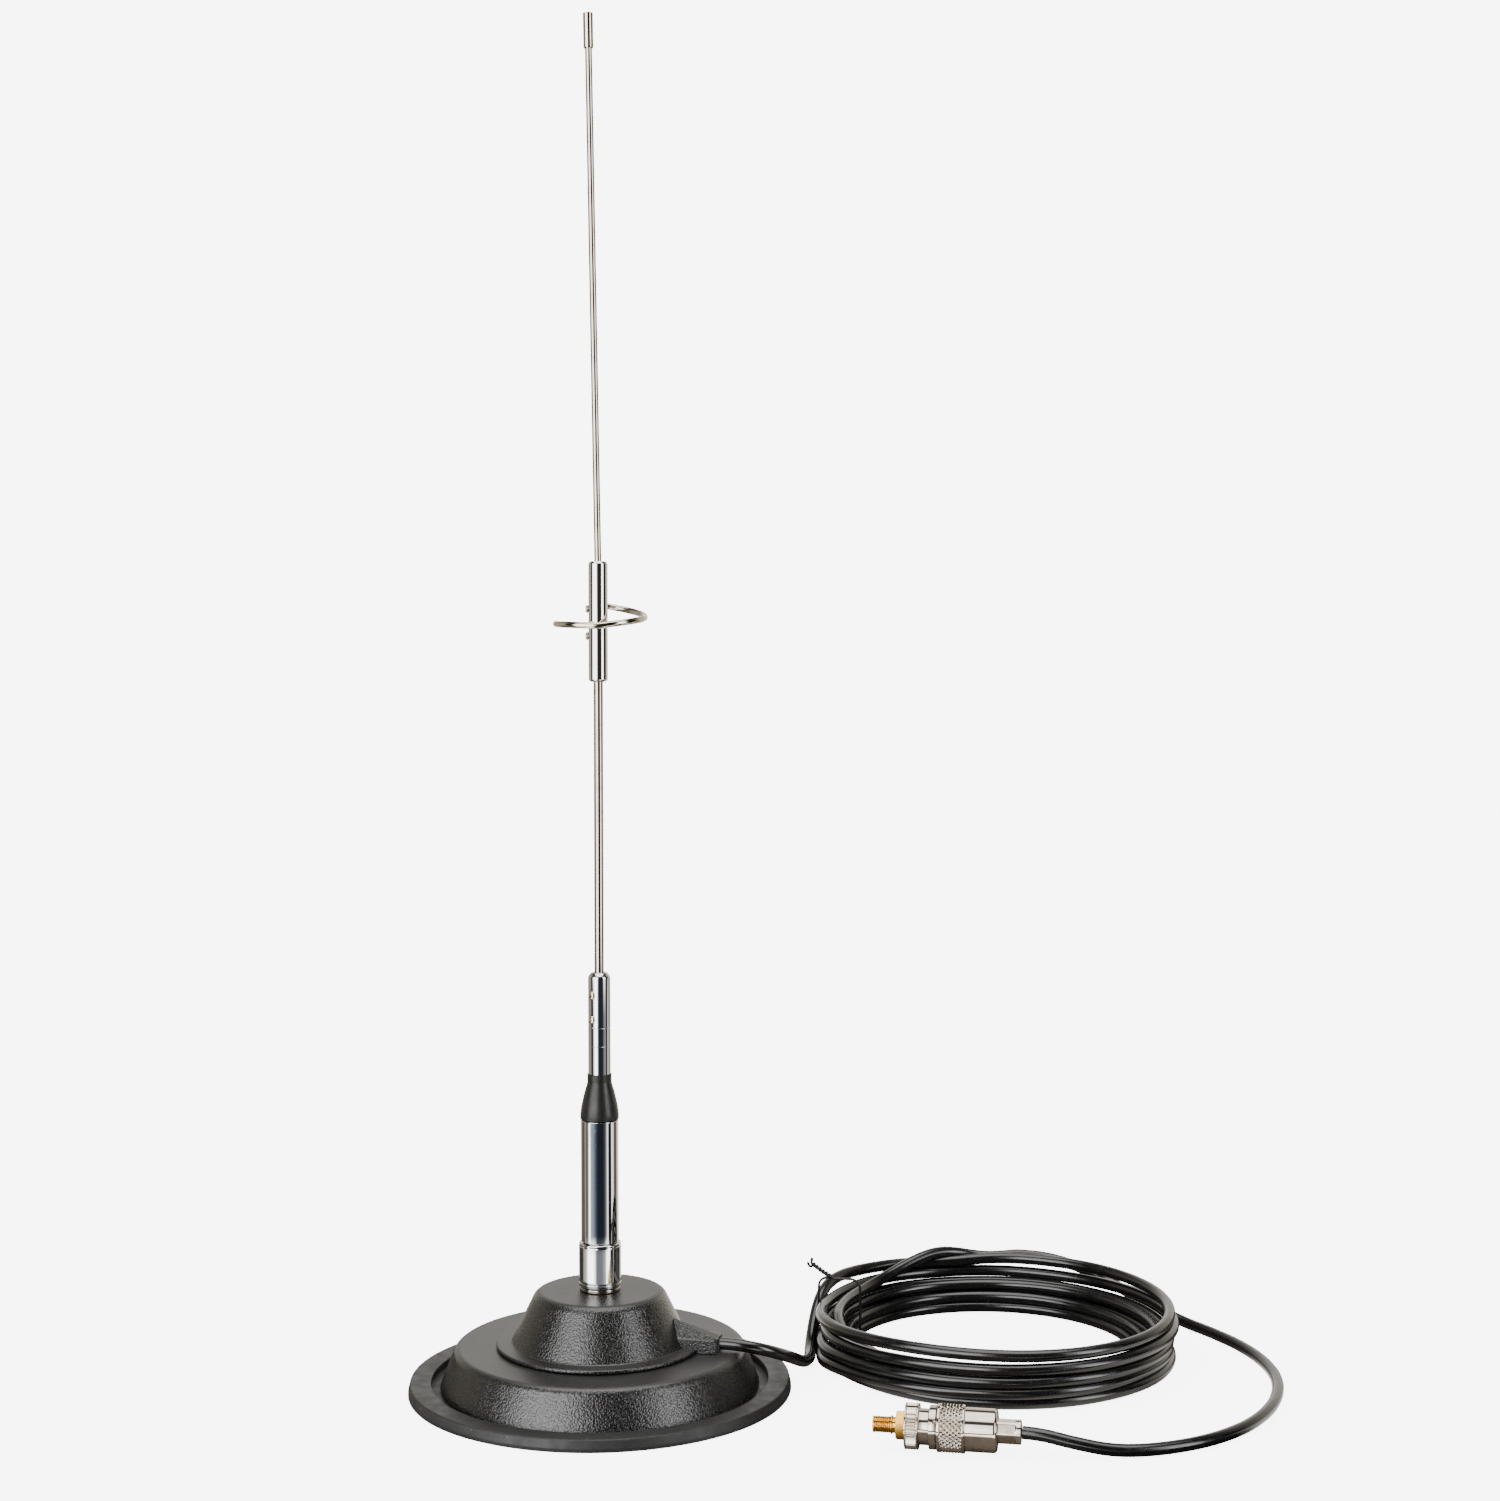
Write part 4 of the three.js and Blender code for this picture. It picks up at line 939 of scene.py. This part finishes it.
def grub_screw(node, start, end, height, angle, body, slot):
    """A socket grub screw: a fine thread, a chamfer at each end and a hexagon in its face."""
    radius, pitch = 1.7, 0.5
    outline = [(0, start), (radius - 0.55, start), (radius - 0.2, start + 0.25)]
    outline += stretch(radius, start + 0.3, end - 0.45, 0.07)
    outline += [(radius - 0.08, end - 0.28), (radius - 0.3, end), (radius - 0.6, end + 0.16), (0, end + 0.3)]
    solid = lathe(outline, 64, thread(start + 0.3, end - 0.45, pitch, 0.22, radius, 0.3))
    place = lying((0, 0, height), angle)
    socket = moved(prism(hexagon(1.5), end - 1.1, end + 1), place)
    mesh = carved(solid_mesh(moved(solid, place)), [socket])
    new_piece(node + "_skin", mesh, body, slot, [node], sharp=40)


def make_ferrule():
    """The ferrule that clamps the lower whip: two turned grooves, a domed top, two grub screws."""
    radius, bottom, top = outer_size("whip_ferrule")
    bore, bore_bottom = 2.25, 132.0
    corners = [(0, bottom), (radius, bottom, 0.3)]
    for groove in (142.6, 150.2):
        corners += [(radius, groove - 0.16, 0.05), (radius - 0.12, groove, 0.05)]
        corners += [(radius, groove + 0.16, 0.05)]
    corners += [(radius, top - 1.7, 1.5), (radius - 1.4, top, 1.2), (bore, top, 0.3)]
    corners += [(bore, bore_bottom, 0.2), (0, bore_bottom)]
    heights = (153.8, 163.8)
    angle = -131.0
    cuts = [side_drill(1.85, 1.5, radius + 2, z, angle) for z in heights]
    mesh = carved(solid_mesh(lathe(rounded(corners), 160)), cuts)
    new_piece("ferrule_skin", mesh, "antenna", "chrome_plate", ["whip_ferrule"])
    for i, height in enumerate(heights):
        node = f"ferrule_grub_screw_{i + 1}"
        grub_screw(node, 2.3, radius + 0.45, height, angle, "antenna", "brass_screw")


# ------------------------------------------------------------------ whips, coupling and phasing ring
def make_rod(node, radius, bottom, top, body, place=UP):
    """A steel rod with slightly rounded ends."""
    outline = rounded([(0, bottom), (radius, bottom, 0.5), (radius, top, 0.5), (0, top)])
    new_piece(node + "_skin", moved(lathe(outline, 64), place), body, "rod_steel", [node])


def leaning():
    """The place of the upper whip: tilted a little about the coupling's top, as the CAD model has it."""
    axis = next(joint["axis"] for joint in frame["joints"] if joint["name"] == "upper_whip_trim")
    pivot = Matrix.Translation((0, 0, box_mm("middle_coupling")[1][2]))
    return pivot @ Matrix.Rotation(math.atan2(axis[0], axis[2]), 4, "Y")


def make_coupling():
    """The middle coupling: both whips' bores, two screw holes at the left, the ring's hole at the back."""
    radius, bottom, top = outer_size("middle_coupling")
    outline = rounded([
        (0, bottom), (radius - 0.75, bottom, 0.2), (radius, bottom + 0.95, 0.4), (radius, top - 0.95, 0.4),
        (radius - 0.75, top, 0.2), (0, top),
    ])
    lower_bore = bar(2.3, bottom - 1, 314.3, 64)
    upper_bore = moved(bar(1.8, -25.0, 2, 64), leaning())
    heights = (311.0, 322.0)
    angle = 180.0
    cuts = [lower_bore, upper_bore] + [side_drill(1.85, 0.5, radius + 2, z, angle) for z in heights]
    cuts.append(side_drill(1.45, radius - 1.6, radius + 2, RING_BACK, 90))
    mesh = carved(solid_mesh(lathe(outline, 160)), cuts)
    new_piece("coupling_skin", mesh, "lower_whip", "chrome_plate", ["middle_coupling"])
    for i, (height, start) in enumerate(zip(heights, (2.3, 1.55))):
        node = f"coupling_grub_screw_{i + 1}"
        grub_screw(node, start, radius + 1, height, angle, "lower_whip", "nickel_plate")


RING_RADIUS, RING_WIRE, RING_OFFSET = 18.1, 1.3, 0.9
RING_BACK, RING_RIGHT, RING_FRONT, RING_END = 323.7, 318.5, 315.1, 316.0


def ring_height(angle):
    """The wire falls from the back, past the right, to the front, and rises a little at its end."""
    return float(np.interp(-angle, [-90, 0, 90, 180], [RING_BACK, RING_RIGHT, RING_FRONT, RING_END]))


def make_ring():
    """The open ring of wire: it leaves the coupling at the back and runs round past the right and front."""
    route = [(0, y, RING_BACK) for y in (2.65, 8, 13)] + [(1.2, 16.8, RING_BACK)]
    for angle in range(75, -181, -15):
        turn = math.radians(angle)
        x, y = RING_OFFSET + RING_RADIUS * math.cos(turn), RING_RADIUS * math.sin(turn)
        route.append((x, y, ring_height(angle)))
    line = resampled(smooth_line(route, 0.6), 0.7)
    solid = sweep(line, RING_WIRE, 32, domed=True)
    finish = SLOT_FINISH["nickel_plate"]
    new_piece("ring_skin", solid, "lower_whip", "chrome_plate", ["phasing_ring"], finish)


def make_whips():
    """Both rods, the coupling and ring between them, and the cap on the tip."""
    _, bottom, top = outer_size("lower_rod")
    make_rod("lower_rod", 1.95, bottom, top, "lower_whip")
    make_coupling()
    make_ring()
    place = leaning()
    pivot = box_mm("middle_coupling")[1][2]
    make_rod("upper_rod", 1.45, 319 - pivot, 558 - pivot, "upper_whip", place)
    radius, bore = 2.05, 1.75
    bottom, top, depth = 548 - pivot, 562 - pivot, 558.3 - pivot
    outline = rounded([
        (0, depth), (bore, depth), (bore, bottom, 0.05), (radius, bottom, 0.12), (radius, top, 0.25),
        (0, top),
    ])
    solid = moved(lathe(outline, 64), place)
    new_piece("tip_skin", solid, "upper_whip", "nickel_plate", ["tip_cap"])


# ------------------------------------------------------------------ plug and adapter
PLUG_HEADING = 170.0
PLUG_ENTRY = (165.0, -82.0, 9.25)


def along_plug(start):
    """The place of a turned piece whose height 0 is this far along the plug from the cable's entry."""
    return lying(PLUG_ENTRY, PLUG_HEADING) @ Matrix.Translation((0, 0, start))


def make_crimp():
    """The crimped tube on the cable: its middle is pressed to a soft hexagon."""
    radius, bore, length, flat = 4.65, 2.85, 12.5, 4.28
    pressed_from, pressed_to, slope = 1.8, 10.6, 0.8

    def pressed(r, z, angle):
        across = flat / math.cos((angle + math.pi / 6) % (math.pi / 3) - math.pi / 6)
        depth = ease((z - pressed_from) / slope) * ease((pressed_to - z) / slope)
        return r + (min(r, across) - r) * depth if r > bore + 1 else r

    outline = [(bore, 0.2), (bore + 0.2, 0), (radius - 0.3, 0), (radius, 0.3)]
    outline += stretch(radius, 0.6, 12.0, 0.2) + [(radius - 0.3, length), (bore, length)]
    solid = moved(lathe(outline, 144, pressed), along_plug(0))
    return new_piece("crimp_skin", solid, "magnetic_base", "nickel_plate", ["crimp_ferrule"])


def make_sleeve():
    """The plug's coupling sleeve: a smooth rounded rear and a diamond knurl on the wider front."""
    rear, front, rear_hole, middle_bore, thread_bore = 8.3, 9.1, 5.2, 7.35, 8.05
    floor, thread_from, step_at, length = 3.6, 11.6, 12.3, 23.0
    knurl_from, knurl_to, teeth, depth, fading = 13.2, 22.0, 34, 0.62, 0.5
    pitch = TAU * front / teeth

    def knurled(r, z, angle):
        if abs(r - front) > 1e-6 or not knurl_from <= z <= knurl_to:
            return r
        fade = min(1.0, (z - knurl_from) / fading, (knurl_to - z) / fading)
        across = teeth * angle / TAU
        along = z / (1.35 * pitch)
        cut = 1 - min(triangle_wave(across + along), triangle_wave(across - along))
        return r - depth * max(0.0, cut * 1.2 - 0.2) * fade

    outline = rounded([
        (rear_hole, 0, 0.2), (rear, 0, 1.5), (rear, step_at, 0.15), (front, step_at, 0.45),
        (front, knurl_from - 0.1),
    ])
    outline += stretch(front, knurl_from, knurl_to, 0.12)
    outline += rounded([
        (front, knurl_to + 0.1), (front, length, 0.4), (thread_bore, length, 0.3),
        (thread_bore, thread_from, 0.2), (middle_bore, thread_from, 0.2), (middle_bore, floor, 0.2),
        (rear_hole, floor, 0.1), (rear_hole, 0.2),
    ])
    solid = moved(lathe(outline, teeth * 12, knurled), along_plug(8.9))
    return new_piece("sleeve_skin", solid, "sleeve", "nickel_plate", ["plug_sleeve"], sharp=50)


def make_adapter():
    """The adapter's turned shell: thread, notched stop ring, plain neck and a fine straight knurl."""
    barrel, stop, neck, knurl, mouth, rear_bore = 7.7, 8.25, 6.8, 8.65, 5.5, 4.1
    thread_from, thread_to, stop_from, stop_to, neck_to = 0.5, 10.2, 10.6, 13.3, 17.3
    knurl_from, knurl_to, end, bore_end = 17.8, 22.1, 22.6, 14
    teeth, depth, fading = 44, 0.55, 0.3
    thread_shape = thread(thread_from, thread_to, UHF_PITCH, 0.5, barrel)

    def shape(r, z, angle):
        if r == knurl and knurl_from <= z <= knurl_to:
            fade = min(1.0, (z - knurl_from) / fading, (knurl_to - z) / fading)
            return r - depth * (1 - triangle_wave(teeth * angle / TAU)) * fade
        return thread_shape(r, z, angle)

    outline = rounded([(mouth, 4, 0.1), (mouth, 0, 0.3), (barrel - 0.55, 0, 0.2), (barrel - 0.5, 0.4)])
    outline += stretch(barrel, thread_from, thread_to, 0.1)
    outline += rounded([
        (barrel - 0.5, stop_from, 0.1), (stop, stop_from, 0.2), (stop, stop_to, 0.3), (neck, stop_to, 0.3),
        (neck, neck_to, 0.3), (knurl, neck_to, 0.35), (knurl, knurl_from - 0.1),
    ])
    outline += stretch(knurl, knurl_from, knurl_to, 0.15)
    outline += rounded([
        (knurl, knurl_to + 0.1), (knurl, end, 0.35), (rear_bore, end, 0.2), (rear_bore, bore_end, 0.2),
        (mouth, bore_end, 0.2), (mouth, 5),
    ])
    solid = lathe(outline, teeth * 8, shape)
    notches = []
    for k in range(4):
        notch = prism([(-1.1, -0.6), (1.1, -0.6), (1.1, 0.6), (-1.1, 0.6)], -0.9, 0.9)
        turn = Matrix.Rotation(TAU * (k + 0.35) / 4, 4, "Z")
        notches.append(moved(notch, turn @ Matrix.Translation((stop, 0, stop_from + 0.3))))
    place = along_plug(21.6)
    mesh = carved(solid_mesh(moved(solid, place)), [moved(notch, place) for notch in notches])
    return new_piece("adapter_skin", mesh, "adapter", "nickel_plate", ["adapter_shell"], sharp=50)


def make_sma():
    """The gold end: a hexagon with turned corners, a neck, a flared ring and the fine-threaded barrel."""
    stub, neck, barrel, corner = 3.8, 3.0, 3.15, 5.65
    hex_from, hex_to, neck_to, end, mouth = 4.4, 7.6, 9.6, 16.6, 2.35
    thread_shape = thread(neck_to + 0.6, end - 0.2, 25.4 / 36, 0.3, barrel, 0.4)

    def shape(r, z, angle):
        if hex_from <= z <= hex_to and r > stub + 0.2:
            flat = corner * math.cos(math.pi / 6) / math.cos(angle % (math.pi / 3) - math.pi / 6)
            return min(r, flat)
        return thread_shape(r, z, angle)

    outline = [(0, 0)] + rounded([(0, 0), (stub, 0, 0.2), (stub, hex_from - 0.05)])[1:]
    outline += [(stub + 0.3, hex_from), (corner - 0.55, hex_from), (corner - 0.2, hex_from + 0.12)]
    outline += [(corner, hex_from + 0.35), (corner, hex_to - 0.35), (corner - 0.2, hex_to - 0.12)]
    outline += [(corner - 0.55, hex_to), (neck + 0.9, hex_to)]
    outline += rounded([
        (neck + 0.8, hex_to), (neck, hex_to, 0.2), (neck, neck_to - 0.6, 0.2),
        (neck + 0.5, neck_to - 0.5, 0.15), (neck + 0.5, neck_to, 0.15), (barrel - 0.3, neck_to + 0.2, 0.1),
    ])[1:]
    outline += stretch(barrel, neck_to + 0.6, end - 0.2, 0.06)
    outline += rounded([
        (barrel - 0.2, end), (mouth, end, 0.15), (mouth, neck_to, 0.1), (1.1, neck_to, 0.1), (1.1, 0.4, 0.1),
        (0, 0.4),
    ])
    solid = moved(lathe(outline, 96, shape), along_plug(40.1))
    return new_piece("sma_skin", solid, "adapter", "gold_plate", ["sma_shell"], sharp=30)


def make_tie():
    """A plastic-covered wire round the coil's strands, its ends twisted together."""
    angle = math.radians(165)
    low_r, high_r, low_z, high_z, corner, wire = 59.6, 78.2, 0.6, 28.2, 4.0, 0.55
    loop = []
    corners = (
        (high_r - corner, high_z - corner, 0), (low_r + corner, high_z - corner, 90),
        (low_r + corner, low_z + corner, 180), (high_r - corner, low_z + corner, 270),
    )
    for centre_r, centre_z, first in corners:
        for k in range(7):
            turn = math.radians(first + 15 * k)
            loop.append((centre_r + corner * math.cos(turn), 0.0, centre_z + corner * math.sin(turn)))
    top = ((low_r + high_r) / 2 + 3, high_z)
    start, end = (top[0], 0.4, top[1]), (top[0] + 1.2, -0.4, top[1])
    order = loop[7:] + loop[:7]
    twists, twist_length = 3.5, 13.0
    tails = []
    for side in (0, 1):
        tail = []
        for k in range(29):
            t = k / 28
            spin = TAU * twists * t + math.pi * side
            spread = 0.62 + 1.6 * max(0.0, t - 0.82) / 0.18
            lift = 1.0 + 0.35 * math.sin(1.3 * t)
            out = top[0] + 0.6 + twist_length * t * 0.75 + spread * 0.2 * math.cos(spin)
            up = top[1] + 0.5 + lift * twist_length * t * 0.35 + spread * math.sin(spin)
            tail.append((out, spread * math.cos(spin), up))
        tails.append(tail)
    route = tails[0][::-1] + [start] + order + [end] + tails[1]
    line = resampled(smooth_line(route, 0.4), 0.5)
    place = Matrix.Translation((COIL_X, COIL_Y, 0)) @ Matrix.Rotation(angle, 4, "Z")
    solid = moved(sweep(line, wire, 12, domed=True), place)
    return new_piece("tie_skin", solid, "magnetic_base", "tie_plastic", ["twist_tie"])


make_rim()
make_pad()
make_lower_cover()
make_upper_cover()
make_socket()
make_collar()
make_tube()
make_boot()
make_ferrule()
make_whips()
PLUG_PIECES = [make_crimp(), make_sleeve(), make_adapter(), make_sma(), make_tie()]
INSIDE_PLUG = (
    "plug_body", "plug_insulator", "plug_pin", "adapter_insulator", "adapter_contact", "sma_insulator",
)
PLUG_PIECES += [NODES[name] for name in INSIDE_PLUG]


# ------------------------------------------------------------------ cable
def make_cable():
    line = resampled(smooth_line(cable_line(), 1.6), 1.7)
    solid = sweep(line, CABLE_DIAMETER / 2, 16)
    stood_for = ("cable_lead", "cable_coil", "cable_tail")
    cable = new_piece("cable", solid, "magnetic_base", "cable_jacket", stood_for)


finish_cad_nodes()
make_cable()
